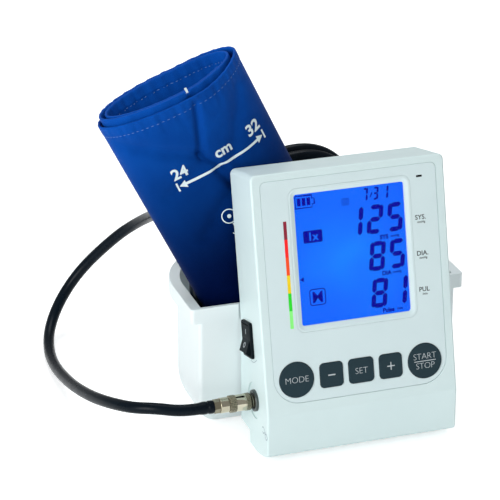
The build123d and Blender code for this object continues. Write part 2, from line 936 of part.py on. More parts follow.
with BuildPart() as pump_head_block:
    with BuildSketch(x_plane(pump_left_x, pump_y, pump_z)):
        RectangleRounded(pump_head, pump_head, 3)
    extrude(amount=pump_head_length)
    with BuildSketch(Plane(origin=(pump_x, port_y, pump_low_z), z_dir=(0, 0, -1))):
        Circle(nipple_radius)
    extrude(amount=nipple_length - 1.5)
    with BuildSketch(Plane(origin=(pump_x, port_y, pump_low_z - nipple_length), z_dir=(0, 0, 1))):
        Circle(air_bore)
    extrude(amount=2 * nipple_length, mode=Mode.SUBTRACT)

with BuildPart() as pump_cradle:
    cradle_back_y = back_y - wall
    with Locations((pump_x, (cradle_back_y + pump_y - cradle_reach) / 2, pump_z)):
        Box(pump_head_length, cradle_back_y - pump_y + cradle_reach, pump_head + 2 * cradle_wall)
    with Locations((pump_x, pump_y, pump_z)):
        Box(pump_head_length, pump_head, pump_head, mode=Mode.SUBTRACT)

with BuildPart() as exhaust_valve:
    with BuildSketch(x_plane(valve_left_x, port_y, port_z)):
        Circle(valve_radius)
    extrude(amount=valve_length)
    fillet(exhaust_valve.edges(), 0.8)
    with BuildSketch(x_plane(valve_left_x, port_y, port_z)):
        Circle(nipple_radius)
    extrude(amount=-nipple_length)
    with BuildSketch(x_plane(valve_left_x - nipple_length, port_y, port_z)):
        Circle(air_bore)
    extrude(amount=nipple_length + 4, mode=Mode.SUBTRACT)

with BuildPart() as air_manifold:
    with BuildSketch(x_plane(manifold_left_x, port_y, port_z)):
        Rectangle(manifold_size, manifold_size)
    extrude(amount=manifold_right_x - manifold_left_x)
    with BuildSketch(x_plane(manifold_left_x - nipple_length, port_y, port_z)):
        Circle(nipple_radius)
    extrude(amount=manifold_right_x - manifold_left_x + 2 * nipple_length)
    with BuildSketch(Plane.XY.offset(manifold_top_z)):
        with Locations((sensor_u, port_y), (pump_x, port_y)):
            Circle(nipple_radius)
    extrude(amount=nipple_length)
    with BuildSketch(Plane.XY.offset(manifold_top_z + nipple_length)):
        with Locations((sensor_u, port_y), (pump_x, port_y)):
            Circle(air_bore)
    extrude(amount=-nipple_length - manifold_size / 2, mode=Mode.SUBTRACT)
    with BuildSketch(x_plane(manifold_left_x - nipple_length, port_y, port_z)):
        Circle(air_bore)
    extrude(amount=manifold_right_x - manifold_left_x + 2 * nipple_length, mode=Mode.SUBTRACT)

sensor_end = lean_point(sensor_u, sensor_v, sensor_back_w + 0.5)
bend_w = (port_y - face_y - sensor_v * lean_sin) / lean_cos
sensor_bend = lean_point(sensor_u, sensor_v, bend_w)
line_gap = 0.5
line_routes = [
    [(barrel_end_x + line_gap, port_y, port_z), (manifold_left_x - line_gap, port_y, port_z)],
    [(manifold_right_x + line_gap, port_y, port_z), (valve_left_x - line_gap, port_y, port_z)],
    [(pump_x, port_y, manifold_top_z + line_gap), (pump_x, port_y, pump_low_z - line_gap)],
]
with BuildPart() as air_lines:
    for start, end in line_routes:
        with BuildLine() as line_path:
            Line(start, end)
        with BuildSketch(Plane(origin=start, z_dir=tuple(Vector(*end) - Vector(*start)))):
            Circle(line_radius)
            Circle(nipple_radius, mode=Mode.SUBTRACT)
        sweep(path=line_path.line)
    with BuildLine() as bent_path:
        FilletPolyline((sensor_u, port_y, manifold_top_z + line_gap), sensor_bend, sensor_end, radius=3.5)
    with BuildSketch(Plane(origin=(sensor_u, port_y, manifold_top_z + line_gap), z_dir=(0, 0, 1))):
        Circle(line_radius)
        Circle(nipple_radius, mode=Mode.SUBTRACT)
    sweep(path=bent_path.line)

# Rear housing with its battery bay
cell_pitch = 2 * cell_radius + cell_spacing
bay_top_v = console_height - bay_top_drop
bay_low_v = bay_top_v - cell_count * cell_pitch
bay_v = (bay_low_v + bay_top_v) / 2
bay_half_width = cell_length / 2 + contact_reach
door_half_width = bay_half_width + door_side
door_low_v = bay_low_v - door_low_reach
door_front_w = console_depth - door_thickness
door_height = console_height - door_low_v
recess_w = door_front_w - door_gap
bay_front_w = door_front_w - cell_door_gap - 2 * cell_radius - cell_gap
pad_half_width = door_half_width + pad_side
pad_low_v = door_low_v - pad_low_reach
pad_w = recess_w - pad_thickness
wall_front_w = console_depth - wall
with BuildPart() as rear_housing:
    add(console_block.part)
    extrude(front_side.sketch, amount=console_width, both=True, mode=Mode.SUBTRACT)
    # Thick pad and bay box behind the door
    with BuildSketch(face_plane(pad_w)):
        with Locations((0, (pad_low_v + console_height - wall) / 2)):
            Rectangle(2 * pad_half_width, console_height - wall - pad_low_v)
    extrude(amount=-(wall_front_w - pad_w))
    with BuildSketch(face_plane(bay_front_w - bay_wall)):
        with Locations((0, bay_v)):
            Rectangle(2 * (bay_half_width + bay_wall), bay_top_v - bay_low_v + 2 * bay_wall)
    extrude(amount=-(wall_front_w - bay_front_w + bay_wall))
    with BuildSketch(face_plane(bay_front_w)):
        with Locations((0, bay_v)):
            Rectangle(2 * bay_half_width, bay_top_v - bay_low_v)
    extrude(amount=-30, mode=Mode.SUBTRACT)
    # Recess and side grooves for the sliding door, open at the top
    with BuildSketch(face_plane(recess_w)):
        with Locations((0, door_low_v - part_gap)):
            Rectangle(2 * (door_half_width + part_gap), 2 * door_height, align=(Align.CENTER, Align.MIN))
    extrude(amount=-10, mode=Mode.SUBTRACT)
    with BuildSketch(face_plane(recess_w)):
        with Locations((0, door_low_v - part_gap)):
            Rectangle(
                2 * (door_half_width + door_tongue + part_gap),
                2 * door_height,
                align=(Align.CENTER, Align.MIN),
            )
    extrude(amount=-(door_thickness / 2 + door_groove_play), mode=Mode.SUBTRACT)
    # Posts, counterbores and screw holes of the four housing screws
    with BuildSketch(face_plane(post_meet_w)):
        with Locations(*post_places):
            Circle(post_radius)
    extrude(amount=-(wall_front_w - post_meet_w))
    with BuildSketch(face_plane(housing_screw_head_w)):
        with Locations(*post_places):
            Circle(housing_screw_head_radius + screw_clearance)
    extrude(amount=-console_depth, mode=Mode.SUBTRACT)
    with BuildSketch(face_plane(post_meet_w)):
        with Locations(*post_places):
            Circle(housing_screw_radius + screw_clearance)
    extrude(amount=-(housing_screw_head_w - post_meet_w), mode=Mode.SUBTRACT)
    # Posts for the basket screws
    with BuildSketch(Plane(origin=(0, back_y - wall, 0), x_dir=(1, 0, 0), z_dir=(0, -1, 0))):
        with Locations(*boss_places):
            Circle(basket_post_radius)
    extrude(amount=basket_post_length)
    with BuildSketch(Plane(origin=(0, back_y, 0), x_dir=(1, 0, 0), z_dir=(0, -1, 0))):
        with Locations(*boss_places):
            Circle(basket_screw_radius)
    extrude(amount=wall + basket_post_length, mode=Mode.SUBTRACT)
    with BuildSketch(left_plane(-half_width)):
        with Locations((-port_w, port_v)):
            Circle(port_dish_radius)
    extrude(amount=-port_dish_depth, mode=Mode.SUBTRACT)

with BuildPart() as battery_door:
    with BuildSketch(face_plane(door_front_w)):
        with Locations((0, door_low_v)):
            Rectangle(2 * door_half_width, door_height, align=(Align.CENTER, Align.MIN))
    extrude(amount=-door_thickness)
    top_back = battery_door.edges().filter_by(Axis.X).sort_by(lambda e: e.center().Z + e.center().Y)[-1]
    fillet(top_back, edge_radius)
    with BuildSketch(face_plane(door_front_w)):
        with Locations((0, door_low_v)):
            Rectangle(
                2 * (door_half_width + door_tongue),
                door_height - door_tongue_drop,
                align=(Align.CENTER, Align.MIN),
            )
    extrude(amount=-door_thickness / 2)
    with BuildSketch(face_plane(console_depth)):
        with Locations(*[(0, door_low_v + 8 + 3 * n) for n in range(5)]):
            SlotOverall(22, 1.2)
    extrude(amount=-0.6)

cell_w = bay_front_w + cell_radius + cell_gap
cell_places = [(bay_low_v + cell_pitch * (n + 0.5), 1 if n % 2 else -1) for n in range(cell_count)]
nub_length = 1.5
with BuildPart() as batteries:
    for v, way in cell_places:
        with BuildSketch(Plane(origin=lean_point(-way * cell_length / 2, v, cell_w), z_dir=(way, 0, 0))):
            Circle(cell_radius)
        extrude(amount=cell_length - nub_length)
        with BuildSketch(
            Plane(origin=lean_point(way * (cell_length / 2 - nub_length), v, cell_w), z_dir=(way, 0, 0))
        ):
            Circle(2.7)
        extrude(amount=nub_length)

with BuildPart() as battery_contacts:
    for v, way in cell_places:
        for side in (-1, 1):
            plate_x = side * (bay_half_width - contact_thickness)
            with BuildSketch(Plane(origin=lean_point(plate_x, v, cell_w), z_dir=(side, 0, 0))):
                Rectangle(contact_size, contact_size)
            extrude(amount=contact_thickness)
            with BuildSketch(Plane(origin=lean_point(plate_x, v, cell_w), z_dir=(-side, 0, 0))):
                Circle(contact_radius)
            extrude(amount=bay_half_width - contact_thickness - cell_length / 2)

with BuildPart() as housing_screws:
    with BuildSketch(face_plane(housing_screw_head_w)):
        with Locations(*post_places):
            Circle(housing_screw_head_radius)
    extrude(amount=-housing_screw_head_height)
    with BuildSketch(face_plane(housing_screw_head_w)):
        with Locations(*post_places):
            Circle(housing_screw_radius)
    extrude(amount=housing_screw_length)

with BuildPart() as dc_jack:
    with BuildSketch(right_plane(inner_half)):
        with Locations((jack_w, jack_v)):
            Rectangle(jack_body_width, jack_body_height)
    extrude(amount=-jack_length)
    with BuildSketch(right_plane(inner_half)):
        with Locations((jack_w, jack_v)):
            Circle(jack_radius)
    extrude(amount=wall + jack_proud)
    with BuildSketch(right_plane(half_width + jack_proud)):
        with Locations((jack_w, jack_v)):
            Circle(jack_bore)
            Circle(jack_pin, mode=Mode.SUBTRACT)
    extrude(amount=-jack_hole_depth, mode=Mode.SUBTRACT)

# Cuff basket
basket_y = (basket_front_y + basket_back_y) / 2
basket_depth = basket_back_y - basket_front_y


def basket_outline(grow, front_grow):
    """Basket outline seen from above, larger by grow, and by front_grow at the front."""
    depth = basket_depth + grow + front_grow
    with BuildSketch() as outline:
        with Locations((basket_x, basket_y + (grow - front_grow) / 2)):
            Rectangle(basket_width + 2 * grow, depth)
        fillet(outline.vertices().group_by(Axis.Y)[-1], basket_back_radius + grow)
        fillet(outline.vertices().group_by(Axis.Y)[0], basket_front_radius + min(grow, 0))
    return outline.sketch


with BuildPart() as basket_inside:
    with BuildSketch(Plane.XY.offset(basket_floor)):
        add(basket_outline(-basket_wall, -basket_wall))
    extrude(amount=basket_height)
    fillet(basket_inside.faces().sort_by(Axis.Z)[0].edges(), basket_base_radius - basket_wall)

with BuildPart() as cuff_basket:
    extrude(basket_outline(0, 0), amount=basket_height)
    fillet(cuff_basket.faces().sort_by(Axis.Z)[0].edges(), basket_base_radius)
    with BuildSketch(Plane.XY.offset(basket_height - rim_height)):
        add(basket_outline(rim_overhang, rim_front_overhang))
    extrude(amount=rim_height)
    fillet(cuff_basket.faces().sort_by(Axis.Z)[-1].edges(), 0.8)
    add(basket_inside.part, mode=Mode.SUBTRACT)
    # The rim stops where the console stands
    with Locations((0, basket_front_y, basket_height)):
        Box(
            console_width + 2 * rim_console_gap,
            20,
            2 * rim_height + 10,
            align=(Align.CENTER, Align.MAX, Align.CENTER),
            mode=Mode.SUBTRACT,
        )
    with BuildSketch(Plane(origin=(0, basket_front_y, 0), x_dir=(1, 0, 0), z_dir=(0, -1, 0))):
        with Locations(*boss_places):
            Circle(boss_radius)
    extrude(amount=basket_front_y - back_y)
    with BuildSketch(Plane(origin=(0, basket_front_y + basket_wall, 0), x_dir=(1, 0, 0), z_dir=(0, -1, 0))):
        with Locations(*boss_places):
            Circle(basket_screw_radius + part_gap)
    extrude(amount=basket_wall + basket_front_y - back_y, mode=Mode.SUBTRACT)

with BuildPart() as basket_screws:
    with BuildSketch(Plane(origin=(0, basket_front_y + basket_wall, 0), x_dir=(1, 0, 0), z_dir=(0, 1, 0))):
        with Locations(*[(x, -z) for x, z in boss_places]):
            Circle(basket_screw_head_radius)
    extrude(amount=basket_screw_head_height)
    with BuildSketch(Plane(origin=(0, basket_front_y + basket_wall, 0), x_dir=(1, 0, 0), z_dir=(0, -1, 0))):
        with Locations(*boss_places):
            Circle(basket_screw_radius)
    extrude(amount=basket_screw_length)

# Cuff
tilt_sin = math.sin(math.radians(cuff_tilt))
tilt_cos = math.cos(math.radians(cuff_tilt))
cuff_up = Vector(-tilt_sin, tilt_cos * lean_sin, tilt_cos * lean_cos)
cuff_across = Vector(tilt_cos, tilt_sin * lean_sin, tilt_sin * lean_cos)
cuff_top = Vector(*lean_point(cuff_top_u, cuff_top_v, cuff_w))
cuff_foot = cuff_top - cuff_up * cuff_length


def cuff_plane(distance):
    """Plane across the cuff, at distance above its lower edge."""
    return Plane(origin=cuff_foot + cuff_up * distance, x_dir=cuff_across, z_dir=cuff_up)


def cuff_section(width, thickness):
    """Flat rolled section: two shallow arcs joined by small round edges."""
    side = width / 2 - cuff_edge_radius
    round_step = cuff_edge_radius * math.sqrt(0.5)
    with BuildSketch() as section:
        with BuildLine():
            for end in (-1, 1):
                ThreePointArc(
                    (end * side, cuff_edge_radius),
                    (end * (side + round_step), round_step),
                    (end * width / 2, 0),
                )
                ThreePointArc(
                    (end * width / 2, 0),
                    (end * (side + round_step), -round_step),
                    (end * side, -cuff_edge_radius),
                )
            ThreePointArc((-side, cuff_edge_radius), (0, thickness / 2), (side, cuff_edge_radius))
            ThreePointArc((-side, -cuff_edge_radius), (0, -thickness / 2), (side, -cuff_edge_radius))
        make_face()
    return section.sketch


inlet_way = Vector(-0.42, -0.05, 0.906).normalized()
inlet_place = cuff_foot + cuff_across * inlet_offset
inlet_end = inlet_place - inlet_way * inlet_reach

with BuildPart() as cuff:
    with BuildSketch(cuff_plane(0)):
        add(cuff_section(cuff_low_width, cuff_low_thickness))
    with BuildSketch(cuff_plane(cuff_length)):
        add(cuff_section(cuff_top_width, cuff_top_thickness))
    loft(ruled=True)
    with BuildSketch(cuff_plane(0)):
        Rectangle(bladder_width, bladder_thickness)
    extrude(amount=bladder_start + bladder_length, mode=Mode.SUBTRACT)
    with BuildSketch(Plane(origin=inlet_end, z_dir=inlet_way)):
        Circle(inlet_radius)
    extrude(amount=inlet_reach + inlet_depth, mode=Mode.SUBTRACT)

with BuildPart() as cuff_bladder:
    with BuildSketch(cuff_plane(bladder_start)):
        Rectangle(bladder_width, bladder_thickness)
    extrude(amount=bladder_length)

with BuildPart() as cuff_inlet:
    with BuildSketch(Plane(origin=inlet_end, z_dir=inlet_way)):
        Circle(inlet_collar_radius)
    extrude(amount=inlet_reach - 6)
    with BuildSketch(Plane(origin=inlet_end, z_dir=inlet_way)):
        Circle(inlet_radius)
    extrude(amount=inlet_reach + inlet_depth)
    with BuildSketch(Plane(origin=inlet_end, z_dir=inlet_way)):
        Circle(1.5)
    extrude(amount=inlet_reach + inlet_depth, mode=Mode.SUBTRACT)


# Hose
def coil_place(angle):
    """Point of the coil at angle, on a leaning oval that draws in as it turns."""
    turn = math.radians(angle)
    share = (coil_start - angle) / coil_sweep
    half_wide = coil_half_widths[0] + (coil_half_widths[1] - coil_half_widths[0]) * share
    half_high = coil_half_heights[0] + (coil_half_heights[1] - coil_half_heights[0]) * share
    depth = coil_depths[0] + (coil_depths[1] - coil_depths[0]) * share
    u = coil_u + half_wide * math.cos(turn)
    if math.sin(turn) > 0:
        u += coil_tilt * math.sin(turn) ** 2
    else:
        half_high -= coil_low_trim
    if abs(angle - coil_bump_at) < coil_bump_half:
        swell = math.cos(math.pi / 2 * (angle - coil_bump_at) / coil_bump_half) ** 2
        u -= coil_bump_u * swell
        depth -= coil_bump * swell
    return Vector(*lean_point(u, coil_v + half_high * math.sin(turn), depth))


def coil_heading(angle):
    """Unit direction of the coil at angle, in the way it is wound."""
    return (coil_place(angle - 0.05) - coil_place(angle + 0.05)).normalized()


def biarc(start, start_way, end, end_way):
    """Two tangent arcs from start to end that keep both directions."""
    gap = end - start
    a = 2 * (start_way.dot(end_way) - 1)
    b = -2 * gap.dot(start_way + end_way)
    reach = (-b - math.sqrt(b * b - 4 * a * gap.dot(gap))) / (2 * a)
    middle = ((start + start_way * reach) + (end - end_way * reach)) * 0.5
    middle_way = ((end - end_way * reach) - (start + start_way * reach)).normalized()
    return [TangentArc(start, middle, tangent=start_way), TangentArc(middle, end, tangent=middle_way)]


def fillet_radii(points):
    """Radius at each corner: 0.45 of the shorter run over the tangent of half the turn."""
    radii = []
    for before, at, after in zip(points, points[1:], points[2:]):
        turn = (at - before).get_angle(after - at)
        shorter = min((at - before).length, (after - at).length)
        radii.append(0.45 * shorter / math.tan(math.radians(turn / 2)))
    return radii


coil_angles = [coil_start - coil_step * n for n in range(coil_sweep // coil_step + 1)]
coil_in_way = coil_heading(coil_angles[0])
coil_out_way = coil_heading(coil_angles[-1])
coil_in = coil_place(coil_angles[0]) - coil_in_way * hose_diameter
coil_out = coil_place(coil_angles[-1]) + coil_out_way * hose_diameter

hose_start = Vector(hose_start_x, port_y, port_z)
hose_route = [hose_start, hose_start + Vector(-12.4, 0, 0)]
hose_route += [Vector(*p) for p in hose_points]
hose_route += [coil_in - coil_in_way * 26, coil_in]
tail_route = [coil_out, coil_out + coil_out_way * 22.5]
tail_route += [Vector(*p) for p in tail_points]
tail_route += [inlet_end - inlet_way * 23.8, inlet_end]

for name, route in (("air_hose", hose_route), ("hose_tail", tail_route)):
    print(name, "radii", [round(r, 1) for r in fillet_radii(route)])

with BuildPart() as air_hose:
    with BuildLine() as hose_path:
        FilletPolyline(*hose_route, radius=fillet_radii(hose_route))
    with BuildSketch(Plane(origin=hose_start, z_dir=(-1, 0, 0))):
        Circle(hose_radius)
    sweep(path=hose_path.line)

with BuildPart() as hose_coil:
    with BuildLine() as coil_path:
        Line(coil_in, coil_place(coil_angles[0]))
        for start, end in zip(coil_angles, coil_angles[1:]):
            biarc(coil_place(start), coil_heading(start), coil_place(end), coil_heading(end))
        Line(coil_place(coil_angles[-1]), coil_out)
    with BuildSketch(Plane(origin=coil_in, z_dir=coil_in_way)):
        Circle(hose_radius)
    sweep(path=coil_path.line)

with BuildPart() as hose_tail:
    with BuildLine() as tail_path:
        FilletPolyline(*tail_route, radius=fillet_radii(tail_route))
    with BuildSketch(Plane(origin=coil_out, z_dir=coil_out_way)):
        Circle(hose_radius)
    sweep(path=tail_path.line)

# Length and volume of each hose piece, and the coil's least gap to itself
hose_area = math.pi * hose_radius**2
for name, piece, path in (
    ("air_hose", air_hose, hose_path),
    ("hose_coil", hose_coil, coil_path),
    ("hose_tail", hose_tail, tail_path),
):
    length = path.wire().length
    print(name, "length", round(length, 1), "volume over section", round(piece.part.volume / hose_area, 1))
coil_wire = coil_path.wire()
coil_length = coil_wire.length
coil_marks = [coil_wire.position_at(n / 300) for n in range(301)]
least = min(
    (coil_marks[n] - coil_marks[m]).length
    for n in range(301)
    for m in range(n)
    if (n - m) * coil_length / 300 > 6 * hose_diameter
)
print("hose_coil least gap", round(least - hose_diameter, 2))

nodes = {
    "front_housing": front_housing,
    "rear_housing": rear_housing,
    "face_plate": face_plate,
    "indicator_lens": indicator_lens,
    "display_bezel": display_bezel,
    "display_window": display_window,
    "lcd_glass": lcd_glass,
    "backlight": backlight,
    "lcd_carrier": lcd_carrier,
    "main_board": main_board,
    "key_mat": key_mat,
    **keys,
    "buzzer": buzzer,
    "pressure_sensor": pressure_sensor,
    "board_screws": board_screws,
    "housing_screws": housing_screws,
    "rubber_feet": rubber_feet,
    "switch_body": switch_body,
    "power_rocker": power_rocker,
    "rocker_pin": rocker_pin,
    "air_port": air_port,
    "port_seal": port_seal,
    "port_nut": port_nut,
    "coupling_body": coupling_body,
    "coupling_sleeve": coupling_sleeve,
    "coupling_nut": coupling_nut,
    "hose_crimp": hose_crimp,
    "pump_motor": pump_motor,
    "pump_head": pump_head_block,
    "pump_cradle": pump_cradle,
    "exhaust_valve": exhaust_valve,
    "air_manifold": air_manifold,
    "air_lines": air_lines,
    "battery_door": battery_door,
    "batteries": batteries,
    "battery_contacts": battery_contacts,
    "dc_jack": dc_jack,
    "cuff_basket": cuff_basket,
    "basket_screws": basket_screws,
    "cuff": cuff,
    "cuff_bladder": cuff_bladder,
    "cuff_inlet": cuff_inlet,
    "air_hose": air_hose,
    "hose_coil": hose_coil,
    "hose_tail": hose_tail,
}
for name, piece in nodes.items():
    piece.part.label = name
    export_step(piece.part, f"parts/{name}.step")
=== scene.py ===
import json
import math

import bpy
import numpy as np
from mathutils import Matrix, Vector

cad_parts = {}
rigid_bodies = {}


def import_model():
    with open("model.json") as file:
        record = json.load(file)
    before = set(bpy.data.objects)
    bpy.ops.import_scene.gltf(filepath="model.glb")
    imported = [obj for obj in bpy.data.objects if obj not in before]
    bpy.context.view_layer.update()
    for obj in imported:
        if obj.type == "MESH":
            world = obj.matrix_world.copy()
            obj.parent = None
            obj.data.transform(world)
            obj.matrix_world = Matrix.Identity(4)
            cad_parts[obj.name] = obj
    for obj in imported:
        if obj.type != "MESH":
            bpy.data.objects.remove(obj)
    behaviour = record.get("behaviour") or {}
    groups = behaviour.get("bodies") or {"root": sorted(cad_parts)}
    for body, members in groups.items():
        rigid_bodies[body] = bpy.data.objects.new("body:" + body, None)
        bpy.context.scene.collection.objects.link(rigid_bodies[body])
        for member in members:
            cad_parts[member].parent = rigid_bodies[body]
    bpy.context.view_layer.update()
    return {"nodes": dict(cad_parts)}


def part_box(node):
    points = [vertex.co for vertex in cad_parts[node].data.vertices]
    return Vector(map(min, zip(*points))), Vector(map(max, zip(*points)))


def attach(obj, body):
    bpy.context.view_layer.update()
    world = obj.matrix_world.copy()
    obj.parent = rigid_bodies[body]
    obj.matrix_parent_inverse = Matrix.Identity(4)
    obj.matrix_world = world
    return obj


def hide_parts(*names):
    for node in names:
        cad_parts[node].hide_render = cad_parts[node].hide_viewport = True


for leftover in list(bpy.data.objects):
    bpy.data.objects.remove(leftover)

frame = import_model()
nodes = frame["nodes"]
print("frame loaded:", len(nodes), "nodes")

mm = 0.001  # every size below is in millimetres, and meshes are in metres

# u runs right on the console's face, v up along it and w is the depth behind it
face = {"lean": math.radians(13.33), "y": -124.0, "z": 13.0}
upFace = np.array([0.0, math.sin(face["lean"]), math.cos(face["lean"])])
backFace = np.array([0.0, math.cos(face["lean"]), -math.sin(face["lean"])])
faceOrigin = np.array([0.0, face["y"], face["z"]])


def facePoint(u, v, w):
    # face origin + u to the right + v up the lean + w into the depth
    u, v, w = np.broadcast_arrays(*(np.asarray(a, float) for a in (u, v, w)))
    return faceOrigin + u[..., None] * np.array([1.0, 0, 0]) + v[..., None] * upFace + w[..., None] * backFace


def unit(vector):
    # a vector, or each of a stack of them, over its length
    return vector / np.linalg.norm(vector, axis=-1, keepdims=True)


def between(pair, share):
    # the first of a pair, and a share of the way to the second
    return pair[0] + (pair[1] - pair[0]) * share


def smoothed(share):
    # 0 to 1 with level ends: the share squared times 3 less twice the share
    return share**2 * (3 - 2 * share)


def stepUp(value, at, width):
    # 0 before and 1 after a smooth step of the given width
    return smoothed(np.clip((value - at) / width + 0.5, 0, 1))


def addObject(name, data):
    made = bpy.data.objects.new(name, data)
    bpy.context.scene.collection.objects.link(made)
    return made


def placed(right, up, back, place):
    # the matrix of an object with these axes at a place in metres
    return Matrix([[right[i], up[i], back[i], place[i]] for i in range(3)] + [[0, 0, 0, 1]])


# Camera, at the photograph's angle
camera = {
    "place": (-528.1, -1441.5, 764.1),
    "right": (0.94804, -0.31813, 0.0),
    "ahead": (0.2926, 0.8718, -0.3930),
    "lens": 163.87, "sensor": 36, "clip": (0.05, 60),
}


def placeCamera(spec):
    ahead = unit(np.array(spec["ahead"]))
    right = unit(np.array(spec["right"]) - ahead * np.dot(spec["right"], ahead))
    data = bpy.data.cameras.new("photoCamera")
    data.lens = spec["lens"]
    data.sensor_width = spec["sensor"]
    data.clip_start, data.clip_end = spec["clip"]
    made = addObject("photoCamera", data)
    made.matrix_world = placed(right, np.cross(right, ahead), -ahead, np.array(spec["place"]) * mm)
    bpy.context.scene.camera = made


placeCamera(camera)
bpy.context.scene.view_settings.view_transform = "Standard"


# Materials
def toLinear(code):
    # sRGB hex to linear: c / 12.92 below 0.04045, else ((c + 0.055) / 1.055) to the power 2.4
    parts = [int(code[i : i + 2], 16) / 255 for i in (1, 3, 5)]
    return [c / 12.92 if c <= 0.04045 else ((c + 0.055) / 1.055) ** 2.4 for c in parts] + [1.0]


def addNode(tree, kind, inputs=None, out=None, **settings):
    # an input takes a number, a hex colour or a socket to link, and out picks the output to give back
    made = tree.nodes.new(kind)
    for key, value in settings.items():
        setattr(made, key, value)
    for key, value in (inputs or {}).items():
        if isinstance(value, bpy.types.NodeSocket):
            tree.links.new(value, made.inputs[key])
        else:
            made.inputs[key].default_value = toLinear(value) if isinstance(value, str) else value
    return made if out is None else made.outputs[out]


def startMaterial(name):
    made = bpy.data.materials.new(name)
    made.use_nodes = True
    tree = made.node_tree
    tree.nodes.clear()
    return made, tree, addNode(tree, "ShaderNodeTexCoord", out="Object")


noises = (("cloud", 3.0, 0.5), ("smudge", 4.0, 0.6), ("grain", 2.0, 0.5))  # with their detail and roughness
smudgeSpan = (0.3, 0.7)  # nearly all of a noise's values lie between these


def surfaceMaterial(name, spec):
    # two shades mixed by a slow noise, roughness spread by another, and a fine bump of the given grain
    made, tree, spot = startMaterial(name)
    noise = {}
    for key, detail, rough in noises:
        inputs = {"Vector": spot, "Scale": 1 / (spec[key] * mm), "Detail": detail, "Roughness": rough}
        noise[key] = addNode(tree, "ShaderNodeTexNoise", inputs, "Fac")
    mixed = {"Factor": noise["cloud"], "A": spec["shades"][0], "B": spec["shades"][1]}
    low, high = spec["rough"]
    spread = {
        "Value": noise["smudge"], "From Min": smudgeSpan[0], "From Max": smudgeSpan[1], "To Min": low, "To Max": high,
    }
    raised = {"Height": noise["grain"], "Strength": spec["bump"], "Distance": spec["relief"] * mm}
    shader = addNode(
        tree,
        "ShaderNodeBsdfPrincipled",
        {
            "Base Color": addNode(tree, "ShaderNodeMix", mixed, "Result", data_type="RGBA"),
            "Roughness": addNode(tree, "ShaderNodeMapRange", spread, "Result"),
            "Metallic": spec["metal"],
            "IOR": spec["ior"],
            "Specular IOR Level": spec["gloss"],
            "Normal": addNode(tree, "ShaderNodeBump", raised, "Normal"),
        },
        "BSDF",
    )
    addNode(tree, "ShaderNodeOutputMaterial", {"Surface": shader})
    return made


def finish(light, dark, cloud, rough, **more):
    # light and dark are its two tones, cloud, grain and smudge are sizes in mm, rough is the spread of
    # roughness and relief is the height of the grain in mm; what an entry leaves out has these values
    usual = {"grain": 0.3, "bump": 0.1, "relief": 0.03, "smudge": 12, "metal": 0.0, "ior": 1.5, "gloss": 0.5}
    return {**usual, "shades": (light, dark), "cloud": cloud, "rough": rough, **more}


